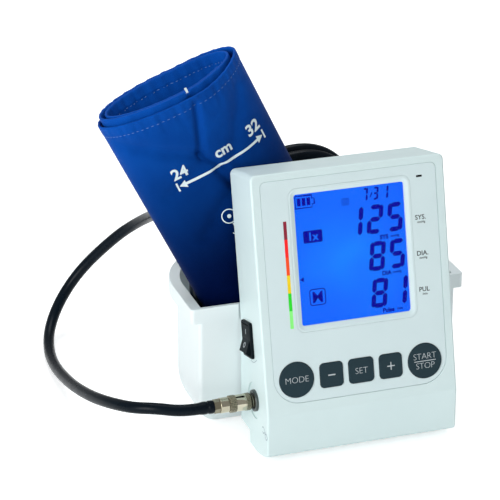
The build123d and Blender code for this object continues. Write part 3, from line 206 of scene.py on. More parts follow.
finishes = {
    # ABS moulded in a fine spark-eroded tool: soft cool white with a broad dull highlight
    "mouldedAbs": finish("#D9EBEB", "#D1E4E5", 40, (0.38, 0.5), grain=0.35, bump=0.12, relief=0.05, ior=1.53),
    # the bin: the same ABS, a little whiter than the console
    "binAbs": finish("#EAF3F4", "#E2EDEF", 40, (0.38, 0.5), grain=0.35, bump=0.12, relief=0.05, ior=1.53),
    # ABS moulded in a finer tool than the shell: a shade greyer, a tighter highlight
    "smoothAbs": finish("#D8E9EB", "#D1E3E5", 35, (0.3, 0.4), grain=0.25, bump=0.06, ior=1.53),
    # keys of dark slate ABS with a fine satin grain that lifts the black to grey
    "satinSlateKey": finish("#1B333B", "#162C35", 10, (0.42, 0.55), bump=0.2, relief=0.05, ior=1.33),
    # black nylon of the switch and the inner mouldings, its highlight dulled by a matt tool
    "blackNylon": finish("#0D171C", "#081014", 8, (0.45, 0.6), bump=0.2, relief=0.05, ior=1.4, gloss=0.12),
    # nickel plate on turned brass: warm bright metal with faint turning marks
    "nickelPlate": finish("#BFBAA6", "#A8A28D", 5, (0.09, 0.16), grain=0.25, metal=1.0, smudge=4),
    # the port in the shade of its recess: the same plate, drawn a darker grey as painted shade
    "shadedNickel": finish("#6B716F", "#565C5B", 4, (0.32, 0.42), metal=1.0, smudge=4),
    # the end nut, ground bright and lightly tarnished: a duller, browner metal
    "groundNickel": finish("#98937F", "#827C69", 4, (0.3, 0.4), metal=1.0, smudge=4),
    # zinc-plated steel of the screws, contacts and motor can
    "zincSteel": finish("#B9BDC0", "#A4A8AC", 6, (0.3, 0.42), grain=0.4, metal=1.0),
    # extruded rubber: blue-black with a narrow soft highlight along it
    "extrudedRubber": finish(
        "#08151F", "#050D15", 20, (0.24, 0.34), grain=0.5, bump=0.12, relief=0.05, ior=1.4, gloss=0.14
    ),
    # moulded rubber of the feet and seals: dull black
    "mouldedRubber": finish("#14161A", "#0C0E11", 6, (0.6, 0.75), bump=0.3, relief=0.06, ior=1.52),
    # silicone of the key mat and inner air lines: grey with a waxy surface
    "greySilicone": finish("#8E9296", "#7F8387", 10, (0.45, 0.6), grain=0.4, relief=0.04, ior=1.41),
    # solder mask over copper and fibreglass
    "solderMask": finish("#14502E", "#0F4126", 4, (0.25, 0.4), grain=0.6, bump=0.3, relief=0.05, ior=1.55),
    # natural nylon of the pump head and manifold
    "naturalNylon": finish("#DAD8CC", "#CFCDBF", 9, (0.4, 0.5), grain=0.4, relief=0.04, ior=1.53),
    # printed film sleeve of the dry cells
    "cellSleeve": finish("#4A5563", "#3B4552", 14, (0.25, 0.32), grain=0.5, bump=0.05, metal=0.4),
    # clear acrylic light guide behind the screen
    "lightGuide": finish("#C6DAF4", "#B4CBEA", 12, (0.3, 0.4), grain=0.8, ior=1.49),
    # dark acrylic rod of the indicator
    "smokedAcrylic": finish("#0B0D10", "#0B0D10", 8, (0.1, 0.16), grain=0.8, bump=0.02, relief=0.02, ior=1.49),
    # screen ink of the liquid crystal marks: navy, dead matt behind the window
    "crystalInk": finish("#0606A4", "#050590", 6, (0.6, 0.7), grain=0.5, bump=0.02, relief=0.01, gloss=0.04),
    # pad-printed legends on the keys
    "legendGrey": finish("#C4CCD0", "#B8C0C4", 5, (0.5, 0.6), bump=0.05, relief=0.01),
    # pad-printed dark lettering on the plate
    "legendDark": finish("#10191D", "#0C1418", 5, (0.5, 0.6), bump=0.05, relief=0.01),
    # marks moulded into the shell, drawn as painted shade: a thin grey line where each groove's shadow falls
    "paintedGrooveShade": finish("#8BA2AC", "#8098A3", 6, (0.45, 0.55), bump=0.05, relief=0.02),
    # screen print on the cuff: thick white ink over the weave
    "cuffInk": finish("#DCE8EA", "#CFDDE2", 8, (0.55, 0.7), grain=0.6, bump=0.35, relief=0.08),
    # polyester sewing thread, a shade lighter than the cloth
    "cuffThread": finish("#5E86C4", "#4A74B4", 4, (0.5, 0.65), bump=0.3, relief=0.05),
}
# printed bars of the scale, from the lowest to the highest
scaleShades = ("#8CFB80", "#18DC18", "#F5D400", "#FF4A00", "#FF0A0A", "#8C0A2C")
for number, shade in enumerate(scaleShades):
    finishes[f"barInk{number}"] = finish(shade, shade, 8, (0.4, 0.5), bump=0.05, relief=0.01)

materials = {name: surfaceMaterial(name, spec) for name, spec in finishes.items()}


def litScreen(spec):
    # a liquid crystal cell lit from behind: brighter in the middle, deeper blue at its edges
    made, tree, spot = startMaterial("litScreen")
    middle = facePoint(0, spec["v"], spec["w"]) * mm
    centred = addNode(tree, "ShaderNodeMapping", {"Vector": spot, "Location": (-middle).tolist()}, 0)
    scaled = addNode(tree, "ShaderNodeMapping", {"Vector": centred, "Scale": [1 / (spec["reach"] * mm)] * 3}, 0)
    glow = addNode(tree, "ShaderNodeTexGradient", {"Vector": scaled}, "Fac", gradient_type="SPHERICAL")
    cloudy = {"Vector": spot, "Scale": 1 / (spec["cloud"] * mm), "Detail": 1.0}
    cloud = addNode(tree, "ShaderNodeTexNoise", cloudy, "Fac")
    uneven = addNode(tree, "ShaderNodeMath", {0: cloud, 1: glow, 2: spec["lift"]}, 0, operation="MULTIPLY_ADD")
    mixed = {"Factor": uneven, "A": spec["edge"], "B": spec["centre"]}
    shader = addNode(
        tree,
        "ShaderNodeBsdfPrincipled",
        {
            "Base Color": spec["body"],
            "Roughness": spec["rough"],
            "IOR": spec["ior"],
            "Emission Color": addNode(tree, "ShaderNodeMix", mixed, "Result", data_type="RGBA"),
            "Emission Strength": spec["glow"],
        },
        "BSDF",
    )
    addNode(tree, "ShaderNodeOutputMaterial", {"Surface": shader})
    return made


materials["litScreen"] = litScreen(
    {
        "v": 133.65, "w": 2.6, "reach": 62, "cloud": 34, "lift": 0.1, "rough": 0.3, "ior": 1.15,
        "body": "#02082A", "edge": "#0C5CFC", "centre": "#1688FF", "glow": 1.0,
    }
)


def clearAcrylic(spec):
    # polished acrylic window: almost clear, its gloss from its own index
    made, tree, spot = startMaterial("clearAcrylic")
    dusty = {"Vector": spot, "Scale": 1 / (spec["dust"] * mm), "Detail": 3.0}
    dust = addNode(tree, "ShaderNodeTexNoise", dusty, "Fac")
    spread = {"Value": dust, "To Min": spec["rough"][0], "To Max": spec["rough"][1]}
    shader = addNode(
        tree,
        "ShaderNodeBsdfPrincipled",
        {
            "Base Color": spec["tint"],
            "Roughness": addNode(tree, "ShaderNodeMapRange", spread, "Result"),
            "IOR": spec["ior"],
            "Transmission Weight": 1.0,
            "Alpha": spec["alpha"],
        },
        "BSDF",
    )
    addNode(tree, "ShaderNodeOutputMaterial", {"Surface": shader})
    return made


materials["clearAcrylic"] = clearAcrylic(
    {"tint": "#F4FAFF", "ior": 1.49, "rough": (0.0, 0.02), "dust": 15, "alpha": 0.12}
)


def knurledNickel(spec):
    # the plate's finish with ridges round the axis: sine of the angle times the number of teeth
    made, tree, spot = startMaterial("knurledNickel")
    parts = addNode(tree, "ShaderNodeSeparateXYZ", {"Vector": spot}).outputs
    y = addNode(tree, "ShaderNodeMath", {0: parts["Y"], 1: spec["y"] * mm}, 0, operation="SUBTRACT")
    z = addNode(tree, "ShaderNodeMath", {0: parts["Z"], 1: spec["z"] * mm}, 0, operation="SUBTRACT")
    angle = addNode(tree, "ShaderNodeMath", {0: z, 1: y}, 0, operation="ARCTAN2")
    turned = addNode(tree, "ShaderNodeMath", {0: angle, 1: spec["teeth"]}, 0, operation="MULTIPLY")
    ridge = addNode(tree, "ShaderNodeMath", {0: turned}, 0, operation="SINE")
    # ridges only on the two end bands, by distance from the sleeve's middle
    along = addNode(tree, "ShaderNodeMath", {0: parts["X"], 1: spec["middle"] * mm}, 0, operation="SUBTRACT")
    away = addNode(tree, "ShaderNodeMath", {0: along}, 0, operation="ABSOLUTE")
    band = addNode(tree, "ShaderNodeMath", {0: away, 1: spec["plainHalf"] * mm}, 0, operation="GREATER_THAN")
    height = addNode(tree, "ShaderNodeMath", {0: ridge, 1: band}, 0, operation="MULTIPLY")
    # the knurled bands are darker in colour, painted shade of their fine grooves, and rougher
    mixed = {"Factor": band, "A": spec["plain"], "B": spec["cut"]}
    spread = {"Value": band, "To Min": spec["rough"][0], "To Max": spec["rough"][1]}
    raised = {"Height": height, "Strength": 1.0, "Distance": spec["relief"] * mm}
    shader = addNode(
        tree,
        "ShaderNodeBsdfPrincipled",
        {
            "Base Color": addNode(tree, "ShaderNodeMix", mixed, "Result", data_type="RGBA"),
            "Metallic": 1.0,
            "Roughness": addNode(tree, "ShaderNodeMapRange", spread, "Result"),
            "Normal": addNode(tree, "ShaderNodeBump", raised, "Normal"),
        },
        "BSDF",
    )
    addNode(tree, "ShaderNodeOutputMaterial", {"Surface": shader})
    return made


sleeveLow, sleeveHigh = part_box("coupling_sleeve")
portAxis = ((sleeveLow + sleeveHigh) / 2) / mm
materials["knurledNickel"] = knurledNickel(
    {
        "y": portAxis[1], "z": portAxis[2],
        "middle": portAxis[0] + 0.3,  # the plain band lies a little towards the port
        # the cut colour is painted shade: the knurled bands' grooves darkened into the colour
        "plainHalf": 3.55, "teeth": 34.0, "relief": 0.4, "plain": "#C2BDA9", "cut": "#8E8873", "rough": (0.08, 0.26),
    }
)

waveRepeat = 6.2832 / 20  # a wave texture of scale 1 repeats over this length


def cuffNylon(spec):
    # coated nylon in plain weave, drawn coarser than its 0.25 mm threads so that it shows
    made, tree, spot = startMaterial("cuffNylon")
    cloth = addNode(tree, "ShaderNodeUVMap", out="UV", uv_map="cloth")
    threads = {"Vector": cloth, "Scale": 1 / (spec["thread"] * waveRepeat), "Distortion": 0.4, "Detail": 1.0}
    warp = addNode(tree, "ShaderNodeTexWave", threads, "Fac", bands_direction="X")
    weft = addNode(tree, "ShaderNodeTexWave", threads, "Fac", bands_direction="Y")
    weave = addNode(tree, "ShaderNodeMath", {0: warp, 1: weft}, 0, operation="MULTIPLY")
    cloudy = {"Vector": spot, "Scale": 1 / (spec["cloud"] * mm), "Detail": 4.0}
    cloud = addNode(tree, "ShaderNodeTexNoise", cloudy, "Fac")
    dyed = {"Factor": cloud, "A": spec["dark"], "B": spec["light"]}
    shade = addNode(tree, "ShaderNodeMix", dyed, "Result", data_type="RGBA")
    crossed = {"Factor": weave, "A": shade, "B": spec["thready"]}
    woven = addNode(tree, "ShaderNodeMix", crossed, "Result", data_type="RGBA")
    # painted shade: the colour darkens down the cuff towards the bin, where the console and the bin keep light off the
    # cloth
    height = addNode(tree, "ShaderNodeSeparateXYZ", {"Vector": cloth}, "Y")
    low, high = spec["paintedShadeUpTo"]
    paintedShadeFade = {"Value": height, "From Min": low, "From Max": high, "To Min": spec["paintedShadeShare"], "To Max": 0.0}
    share = addNode(tree, "ShaderNodeMapRange", paintedShadeFade, "Result", interpolation_type="SMOOTHSTEP")
    mixed = {"Factor": share, "A": woven, "B": spec["paintedShade"]}
    # the weave stands on slow puckers
    slack = {"Vector": spot, "Scale": 1 / (spec["pucker"] * mm), "Detail": 3.0}
    pucker = addNode(tree, "ShaderNodeTexNoise", slack, "Fac")
    waved = {"Height": pucker, "Strength": spec["puckerBump"], "Distance": spec["puckerRelief"] * mm}
    folds = addNode(tree, "ShaderNodeBump", waved, "Normal")
    raised = {"Height": weave, "Strength": spec["bump"], "Distance": spec["relief"] * mm, "Normal": folds}
    shader = addNode(
        tree,
        "ShaderNodeBsdfPrincipled",
        {
            "Base Color": addNode(tree, "ShaderNodeMix", mixed, "Result", data_type="RGBA"),
            "Roughness": spec["rough"],
            "IOR": spec["ior"],
            "Specular Tint": spec["gloss"],
            "Normal": addNode(tree, "ShaderNodeBump", raised, "Normal"),
        },
        "BSDF",
    )
    addNode(tree, "ShaderNodeOutputMaterial", {"Surface": shader})
    return made


materials["cuffNylon"] = cuffNylon(
    {
        # the navy-black tone is painted shade at the foot of the cuff, fading out upwards over the given heights
        "dark": "#04317E", "light": "#0C58BE", "thready": "#1462C8", "paintedShade": "#00021C", "gloss": "#2044D0",
        "paintedShadeUpTo": (30.0, 220.0), "paintedShadeShare": 0.97, "thread": 0.5, "bump": 0.35, "relief": 0.06,
        "cloud": 26, "pucker": 13, "puckerBump": 0.5, "puckerRelief": 1.8, "rough": 0.6, "ior": 1.3,
    }
)
print("materials made:", len(materials))

# Which finish each CAD node shows
nodeFinish = {
    "mouldedAbs": "front_housing rear_housing battery_door",
    "binAbs": "cuff_basket",
    "smoothAbs": "face_plate display_bezel",
    "smokedAcrylic": "indicator_lens",
    "clearAcrylic": "display_window",
    "litScreen": "lcd_glass",
    "lightGuide": "backlight",
    "blackNylon": "lcd_carrier buzzer pressure_sensor switch_body power_rocker dc_jack",
    "solderMask": "main_board",
    "greySilicone": "key_mat pump_cradle air_lines",
    "satinSlateKey": "mode_button minus_button set_button plus_button start_stop_button",
    "zincSteel": "board_screws housing_screws rocker_pin pump_motor exhaust_valve battery_contacts basket_screws",
    "mouldedRubber": "rubber_feet port_seal cuff_bladder cuff_inlet",
    "nickelPlate": "port_nut coupling_body",
    "shadedNickel": "air_port",
    "groundNickel": "coupling_nut",
    "knurledNickel": "coupling_sleeve",
    "naturalNylon": "pump_head air_manifold",
    "cellSleeve": "batteries",
    "extrudedRubber": "hose_crimp air_hose hose_coil hose_tail",
    "cuffNylon": "cuff",
}
for shown, names in nodeFinish.items():
    for name in names.split():
        nodes[name].data.materials.clear()
        nodes[name].data.materials.append(materials[shown])


# Mesh tools
def addPiece(name, points, faces, material, body="console", smooth=False):
    # points in millimetres become a mesh whose object sits at the origin
    mesh = bpy.data.meshes.new(name)
    mesh.from_pydata((np.asarray(points, float) * mm).tolist(), [], [list(map(int, f)) for f in faces])
    mesh.materials.append(materials[material])
    mesh.polygons.foreach_set("use_smooth", np.full(len(mesh.polygons), smooth))
    mesh.update()
    made = addObject(name, mesh)
    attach(made, body)
    return made


def gridFaces(rows, columns):
    # quads between neighbouring grid points, row by row, closed round the rows
    r = np.arange(rows)[:, None]
    c = np.arange(columns - 1)[None, :]
    after = (r + 1) % rows
    corners = [r * columns + c, after * columns + c, after * columns + c + 1, r * columns + c + 1]
    return np.stack([a.ravel() for a in corners], axis=1)


# Hose: the route's points are the control points of one smooth spline
hose = {
    "diameter": 8.5, "length": 1374.5,
    "start": (-111.5, -88.664, 38.952),
    "straight": 12.4,
    "points": [
        (-140.9, -83.9, 41.7), (-155.1, -74.0, 39.7), (-164.4, -55.5, 35.5), (-170.8, -29.1, 28.4),
        (-174.4, 3.1, 20.3), (-175.6, 38.1, 12.5), (-175.2, 72.8, 6.3), (-172.4, 104.4, 4.0), (-166.2, 129.9, 8.8),
        (-155.5, 146.0, 21.1), (-142.1, 153.1, 36.9), (-127.5, 150.4, 55.1), (-108.0, 134.4, 80.7),
        (-97.7, 121.5, 93.8), (-92.8, 98.8, 108.1), (-92.5, 66.9, 124.1), (-93.0, 38.8, 137.8),
    ],
    "tail": [(27.1, -29.1, 34.7), (3.4, -34.1, 23.1), (-25.3, -36.8, 25.2)],
    "leadIn": 26.0, "leadOut": 22.5, "inletRun": 23.8, "inletWay": (-0.42, -0.05, 0.906),
}
coil = {
    "u": -22.6, "v": 106.8, "wide": (70.0, 68.6), "high": (89.5, 84.5), "depth": (102.5, 89.9),
    "lowTrim": 3.0, "tilt": 21.5, "start": 120.0, "sweep": 490.0, "step": 7.0,
    "bump": 26.0, "bumpU": 3.0, "bumpAt": -158.0, "bumpHalf": 62.0,
}
cuff = {
    "tilt": math.radians(24.6),
    "top": (-105.2, 255.2, 66.4),  # u, v, w of the top's middle
    "length": 175.0,
    "halfWide": (52.5, 55.0),  # at the lower and the upper edge
    "halfThick": (14.0, 18.0), "inletOffset": -35.0, "inletReach": 14.0,
}
cuffUp = unit(-math.sin(cuff["tilt"]) * np.array([1.0, 0, 0]) + math.cos(cuff["tilt"]) * upFace)
cuffAcross = unit(math.cos(cuff["tilt"]) * np.array([1.0, 0, 0]) + math.sin(cuff["tilt"]) * upFace)
cuffBack = np.cross(cuffUp, cuffAcross)
cuffFoot = facePoint(*cuff["top"]) - cuffUp * cuff["length"]


def coilPoint(angle, spec=coil):
    # an oval that shrinks with the share of the sweep done, leans to one side above its middle, and swells
    # forward once, where it passes in front of its own start
    turn = np.radians(angle)
    share = (spec["start"] - angle) / spec["sweep"]
    upper = np.sin(turn) > 0
    lean = np.where(upper, spec["tilt"] * np.sin(turn) ** 2, 0)
    u = spec["u"] + between(spec["wide"], share) * np.cos(turn) + lean
    v = spec["v"] + (between(spec["high"], share) - np.where(upper, 0, spec["lowTrim"])) * np.sin(turn)
    swell = np.cos(math.pi / 2 * np.clip((angle - spec["bumpAt"]) / spec["bumpHalf"], -1, 1)) ** 2
    return facePoint(u - spec["bumpU"] * swell, v, between(spec["depth"], share) - spec["bump"] * swell)


def coilHeading(angle):
    # the way the hose runs there, from two points a tenth of a degree apart
    return unit(coilPoint(np.array(angle - 0.05)) - coilPoint(np.array(angle + 0.05)))


def hoseRoute(spec):
    # out of the coupling, along the photograph's points, round the coil and down to the cuff's inlet
    start = np.array(spec["start"])
    angles = np.arange(coil["start"], coil["start"] - coil["sweep"] - 1, -coil["step"])
    turns = coilPoint(angles)
    wayIn, wayOut = coilHeading(angles[0]), coilHeading(angles[-1])
    coilIn = turns[0] - wayIn * spec["diameter"]
    coilOut = turns[-1] + wayOut * spec["diameter"]
    inletWay = unit(np.array(spec["inletWay"]))
    inletEnd = cuffFoot + cuffAcross * cuff["inletOffset"] - inletWay * cuff["inletReach"]
    route = [start, start - [spec["straight"], 0, 0], *spec["points"], coilIn - wayIn * spec["leadIn"], coilIn, *turns]
    route += [coilOut, coilOut + wayOut * spec["leadOut"], *spec["tail"]]
    return np.array([*route, inletEnd - inletWay * spec["inletRun"], inletEnd])


def makeHose(spec):
    route = hoseRoute(spec) * mm
    curve = bpy.data.curves.new("airHose", "CURVE")
    curve.dimensions = "3D"
    line = curve.splines.new("NURBS")
    line.points.add(len(route) - 1)
    line.points.foreach_set("co", np.c_[route, np.ones(len(route))].ravel())
    line.order_u = 3
    line.use_endpoint_u = True
    line.resolution_u = 6
    curve.bevel_depth = spec["diameter"] / 2 * mm
    curve.bevel_resolution = 5
    curve.use_fill_caps = True
    curve.materials.append(materials["extrudedRubber"])
    made = addObject("airHose", curve)
    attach(made, "console")
    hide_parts("air_hose", "hose_coil", "hose_tail")


makeHose(hose)
print("hose laid")

# Cuff: one strip of cloth rolled flat about two and a half turns, free end outside at the back left
roll = {
    "start": 150.0,
    "sweep": 890.0,
    "marks": [150, 180, 270, 360, 450, 540, 630, 720, 810, 900, 990, 1040],
    "wide": [55.2, 55.2, 55.0, 54.6, 53.4, 51.6, 50.4, 48.6, 47.6, 47.2, 46.8, 46.6],
    "thick": [18.4, 18.2, 17.7, 17.6, 17.2, 16.2, 15.4, 13.4, 11.2, 11.8, 13.2, 13.2],
    "blend": 15,  # the marks are smoothed over this many steps of 2 degrees each way
    "flare": [4.6, 5.0, 6.0, 4.8, 5.0, 5.2, 6.4, 6.0, 9.0, 7.0, 6.6, 6.4],  # further out at the open top
    "flareFrom": 112.0, "flareCurve": 1.4,
    "cloth": 1.45, "hemBand": 6.8, "hemEdge": 0.7, "hemExtra": 0.5, "lowHemExtra": 0.2,
    "rimStart": 0.12,  # share of the half thickness at the very edge of the cloth
    # the outer turn has slid down by slip, which fades over some degrees of turn and towards the foot
    "slip": 4.75, "slipFrom": 352.0, "slipOver": 62.0, "slipGain": 1.6, "slipLess": 0.2,
    # towards the top the far side stands higher by a share of the depth, and the left end by a height
    "tiltFrom": 60.0, "shear": 0.24, "leftRise": 6.0, "riseFrom": 15.0, "riseOver": 70.0,
    # extra thickness where the bladder lies between the plies
    "swell": 0.5, "swellSpan": (520.0, 800.0), "swellFade": 40.0, "swellEnds": (20.0, 18.0), "swellRise": 16.0,
    # puckers at the hem of the near and of the far side, with waves to a turn, phase and share
    "pucker": (0.25, 0.75), "puckerAt": 5.0, "puckerReach": 9.0, "ripples": [(31, 1.3, 1.0), (53, 0.4, 0.6)],
    "nearGain": 1.6,  # how sharply the creases end at the sides
    "columns": (12, 200, 215),  # before the near side, on it and after it
    # rows of points: near the lower edge, about both hems, near the top edge, and the even ones between
    "lowRows": (0.0, 0.5, 1.5, 3), "hemRows": (-0.7, -0.35, 0, 0.35), "topRows": (0, 0.5, 1.2, 2.2, 3.5, 5),
    "rows": 90, "rowGap": 2,
}
creaseFade = 8  # how far a crease runs out past each end
creases = [  # of the near side: start and end as distance from the left edge and below the top, width and depth
    ((62, 8), (50, 44), 2.8, 3.0),
    ((2, 12), (47, 42), 4.6, 2.4),
    ((50, 44), (60, 60), 2.4, 2.4),
    ((55, 62), (68, 96), 3.4, 2.8),
    ((96, 16), (70, 56), 6.0, 1.6),
    ((16, 62), (50, 50), 5.0, 1.4),
    ((26, 100), (58, 78), 5.5, 1.6),
    ((80, 96), (58, 118), 5.0, 1.6),
]


def rollSize(angle):
    # half width, half thickness and flare at a turn angle, smoothed over the marks
    dense = np.arange(roll["start"] - 90, roll["start"] + roll["sweep"] + 91, 2.0)
    count = 2 * roll["blend"] + 1
    window = np.ones(count) / count
    sizes = []
    for key in ("wide", "thick", "flare"):
        plain = np.interp(dense, roll["marks"], roll[key])
        padded = np.pad(plain, roll["blend"], mode="edge")
        sizes.append(np.interp(angle, dense, np.convolve(padded, window, mode="valid")))
    return sizes


def creaseDepth(across, below, angle):
    # sum over the creases of depth times a bell across it, faded at its ends, on the near side only
    total = np.zeros(np.broadcast(across, below).shape)
    for start, end, width, depth in creases:
        run = np.subtract(end, start)
        long = np.linalg.norm(run)
        x, d = across - start[0], below - start[1]
        along = (x * run[0] + d * run[1]) / long
        off = (x * run[1] - d * run[0]) / long
        ends = np.clip(along / creaseFade + 1, 0, 1) * np.clip((long - along) / creaseFade + 1, 0, 1)
        total = total + depth * np.exp(-((off / width) ** 2)) * smoothed(ends)
    near = np.clip(-np.sin(np.radians(angle)) * roll["nearGain"], 0, 1)
    return total * near


def rollPoint(angle, height, lift=0.0):
    # an ellipse that shrinks as it turns, set across the cuff at each height; lift moves out along its normal
    angle, height, lift = np.broadcast_arrays(*(np.asarray(a, float) for a in (angle, height, lift)))
    share = height / cuff["length"]
    wide, thick, flare = rollSize(angle)
    wide = wide * between(cuff["halfWide"], share) / cuff["halfWide"][1]
    thick = thick * between(cuff["halfThick"], share) / cuff["halfThick"][1]
    opened = np.clip((height - roll["flareFrom"]) / (cuff["length"] - roll["flareFrom"]), 0, 1)
    thick = thick + flare * opened ** roll["flareCurve"]
    turn = np.radians(angle)
    x, y = wide * np.cos(turn), thick * np.sin(turn)
    normal = unit(np.stack([thick * np.cos(turn), wide * np.sin(turn)], axis=-1))
    below = cuff["length"] - height
    y = y + creaseDepth(x + cuff["halfWide"][1], below, angle)
    edge = np.exp(-(((below - roll["puckerAt"]) / roll["puckerReach"]) ** 2))
    pucker = np.where(np.sin(turn) > 0, roll["pucker"][1], roll["pucker"][0])
    waves = sum(part * np.sin(turn * number + phase) for number, phase, part in roll["ripples"])
    ripple = pucker * edge * waves * np.abs(np.sin(turn))
    x = x + normal[..., 0] * (lift + ripple)
    y = y + normal[..., 1] * (lift + ripple)
    # the outer turn has slid down, all but its right end
    outer = smoothed(np.clip((roll["slipFrom"] - angle) / roll["slipOver"], 0, 1))
    slip = roll["slip"] * outer * np.clip(share * roll["slipGain"] - roll["slipLess"], 0, 1)
    upper = np.clip((height - roll["tiltFrom"]) / (cuff["length"] - roll["tiltFrom"]), 0, 1)
    rise = roll["leftRise"] * np.clip((roll["riseFrom"] - x) / roll["riseOver"], 0, 1)
    z = height - slip + upper * (roll["shear"] * y + rise)
    return cuffFoot + x[..., None] * cuffAcross + y[..., None] * cuffBack + z[..., None] * cuffUp


def makeCuff(spec):
    # close columns on the near side of the outer turn, where the print and the creases are
    first, last = spec["start"], spec["start"] + spec["sweep"]
    stops = (first, 180, 360, last)
    spans = [np.linspace(low, high, n) for low, high, n in zip(stops, stops[1:], spec["columns"])]
    angles = np.unique(np.concatenate(spans))
    hem, full = spec["hemBand"], cuff["length"]
    hemRows = hem + np.array(spec["hemRows"])
    even = np.linspace(hem + spec["rowGap"], full - hem - spec["rowGap"], spec["rows"])
    rows = np.unique(np.r_[spec["lowRows"], hemRows, even, full - hemRows, full - np.array(spec["topRows"])])
    below = cuff["length"] - rows
    topHem, lowHem = (1 - stepUp(away, hem, spec["hemEdge"]) for away in (below, rows))
    half = spec["cloth"] / 2 + spec["hemExtra"] / 2 * topHem + spec["lowHemExtra"] / 2 * lowHem
    # round the rim: the half thickness closes along a quarter circle at each edge
    rim = np.minimum(1, np.minimum(rows, below) + spec["rimStart"])
    half = half * np.sqrt(1 - (1 - rim) ** 2)
    profileHeight = np.r_[rows, rows[::-1]]
    profileLift = np.r_[half, -half[::-1]]
    low, high = spec["swellSpan"]
    bladder = stepUp(angles, low, spec["swellFade"]) * (1 - stepUp(angles, high, spec["swellFade"]))
    foot, top = spec["swellEnds"][0], cuff["length"] - spec["swellEnds"][1]
    body = stepUp(profileHeight, foot, spec["swellRise"]) * (1 - stepUp(profileHeight, top, spec["swellRise"]))
    lift = profileLift[:, None] * (1 + spec["swell"] * bladder[None, :] * body[:, None])
    points = rollPoint(angles[None, :], profileHeight[:, None], lift)
    count, columns = len(profileHeight), len(angles)
    faces = gridFaces(count, columns)
    # the two free ends are closed by quads between the outer and the inner side
    i = np.arange(count // 2 - 1)
    mirrored = count - 1 - i
    startCap = np.stack([i * columns, mirrored * columns, (mirrored - 1) * columns, (i + 1) * columns], axis=1)
    endCap = startCap[:, ::-1] + columns - 1
    allFaces = np.r_[faces, startCap, endCap]
    made = addPiece("cuffRoll", points.reshape(-1, 3), allFaces, "cuffNylon", smooth=True)
    # cloth coordinates in millimetres along the strip and up it
    middle = rollPoint(angles, np.full(columns, cuff["length"] / 2))
    along = np.r_[0, np.cumsum(np.linalg.norm(np.diff(middle, axis=0), axis=1))]
    uv = np.stack(np.broadcast_arrays(along[None, :], profileHeight[:, None]), axis=-1).reshape(-1, 2)
    loops = np.zeros(len(made.data.loops), int)
    made.data.loops.foreach_get("vertex_index", loops)
    made.data.uv_layers.new(name="cloth").data.foreach_set("uv", uv[loops].ravel())
    print("cuff strip length", round(float(along[-1]), 1))
    return made, float(along[-1])


cuffRoll, stripLength = makeCuff(roll)
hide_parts("cuff", "cuff_bladder")


def makeStitches(name, spec):
    # short raised lozenges in rows along the strip, each a ridge of four faces
    starts = np.arange(spec["from"], spec["to"], spec["pitch"])
    pieces, faces = [], []
    for height, side in spec["rows"]:
        ends = starts + spec["pitch"] * spec["fill"]
        half = spec["width"] / 2
        lift = side * spec["lift"]
        crest = side * (spec["lift"] + spec["crest"])
        centre = (starts + ends) / 2
        corner = [
            rollPoint(starts, height, lift),
            rollPoint(centre, height - half, lift),
            rollPoint(ends, height, lift),
            rollPoint(centre, height + half, lift),
            rollPoint(centre, height, crest),
        ]
        base = sum(len(p) for p in pieces)
        pieces.append(np.stack(corner, axis=1).reshape(-1, 3))
        n = base + 5 * np.arange(len(starts))
        for a, b, c in ((0, 1, 4), (1, 2, 4), (2, 3, 4), (3, 0, 4)):
            faces.append(np.stack([n + a, n + b, n + c] if side > 0 else [n + b, n + a, n + c], axis=1))
    return addPiece(name, np.concatenate(pieces), np.concatenate(faces), "cuffThread")


stitches = {
    "from": 152.0, "to": 1038.0,
    "pitch": 4.4,  # degrees of turn, about 2.6 mm of cloth
    "fill": 0.66, "width": 0.55, "lift": roll["cloth"] / 2 + 0.03, "crest": 0.22,
    "rows": [
        (cuff["length"] - roll["hemBand"] - 0.9, 1),
        (cuff["length"] - roll["hemBand"] - 0.9, -1),
        (roll["hemBand"] + 0.9, 1),
    ],
}
cuffStitching = makeStitches("cuffStitching", stitches)


# Flat shapes, printed or set on a surface
def stripShape(points, width, close=False):
    # a band of one width along a line of points, as quads with mitred corners
    points = np.asarray(points, float)
    if close:
        before, after = np.roll(points, 1, axis=0), np.roll(points, -1, axis=0)
    else:
        before, after = np.r_[points[:1], points[:-1]], np.r_[points[1:], points[-1:]]
    way = after - before
    way = way / np.maximum(np.linalg.norm(way, axis=1, keepdims=True), 1e-9)
    side = np.stack([-way[:, 1], way[:, 0]], axis=1)
    run = points - before if close else np.r_[points[1:2] - points[:1], points[1:] - points[:-1]]
    run = run / np.maximum(np.linalg.norm(run, axis=1, keepdims=True), 1e-9)
    mitre = np.clip(np.abs((run * way).sum(1)), 0.5, 1)[:, None]
    half = width / 2
    outline = np.r_[points + side * half / mitre, points - side * half / mitre]
    n = len(points)
    i = np.arange(n if close else n - 1)
    j = (i + 1) % n
    return outline, np.stack([i, i + n, j + n, j], axis=1)


def ringPoints(x, y, radius, steps=28, fromAngle=0.0, sweep=360.0):
    # a circle or an arc, anticlockwise, in degrees
    turn = np.radians(fromAngle + sweep * np.arange(steps) / (steps if sweep == 360 else steps - 1))
    return np.stack([x + radius * np.cos(turn), y + radius * np.sin(turn)], axis=1)


def boxPoints(x0, y0, x1, y1, radius, steps=5):
    # a rounded rectangle, corner by corner, anticlockwise from the lower right
    left, right, low, high = x0 + radius, x1 - radius, y0 + radius, y1 - radius
    corners = [(right, low, -90), (right, high, 0), (left, high, 90), (left, low, 180)]
    return np.concatenate([ringPoints(x, y, radius, steps, a, 90) for x, y, a in corners])


def fan(points):
    # one filled outline
    return np.asarray(points, float), [list(range(len(points)))]


def lineOf(points, steps):
    # points spread evenly along a polyline, so that a strip can follow a curved surface
    points = np.asarray(points, float)
    reach = np.r_[0, np.cumsum(np.linalg.norm(np.diff(points, axis=0), axis=1))]
    spread = np.unique(np.r_[np.linspace(0, reach[-1], steps), reach])
    return np.stack([np.interp(spread, reach, points[:, i]) for i in range(2)], axis=1)


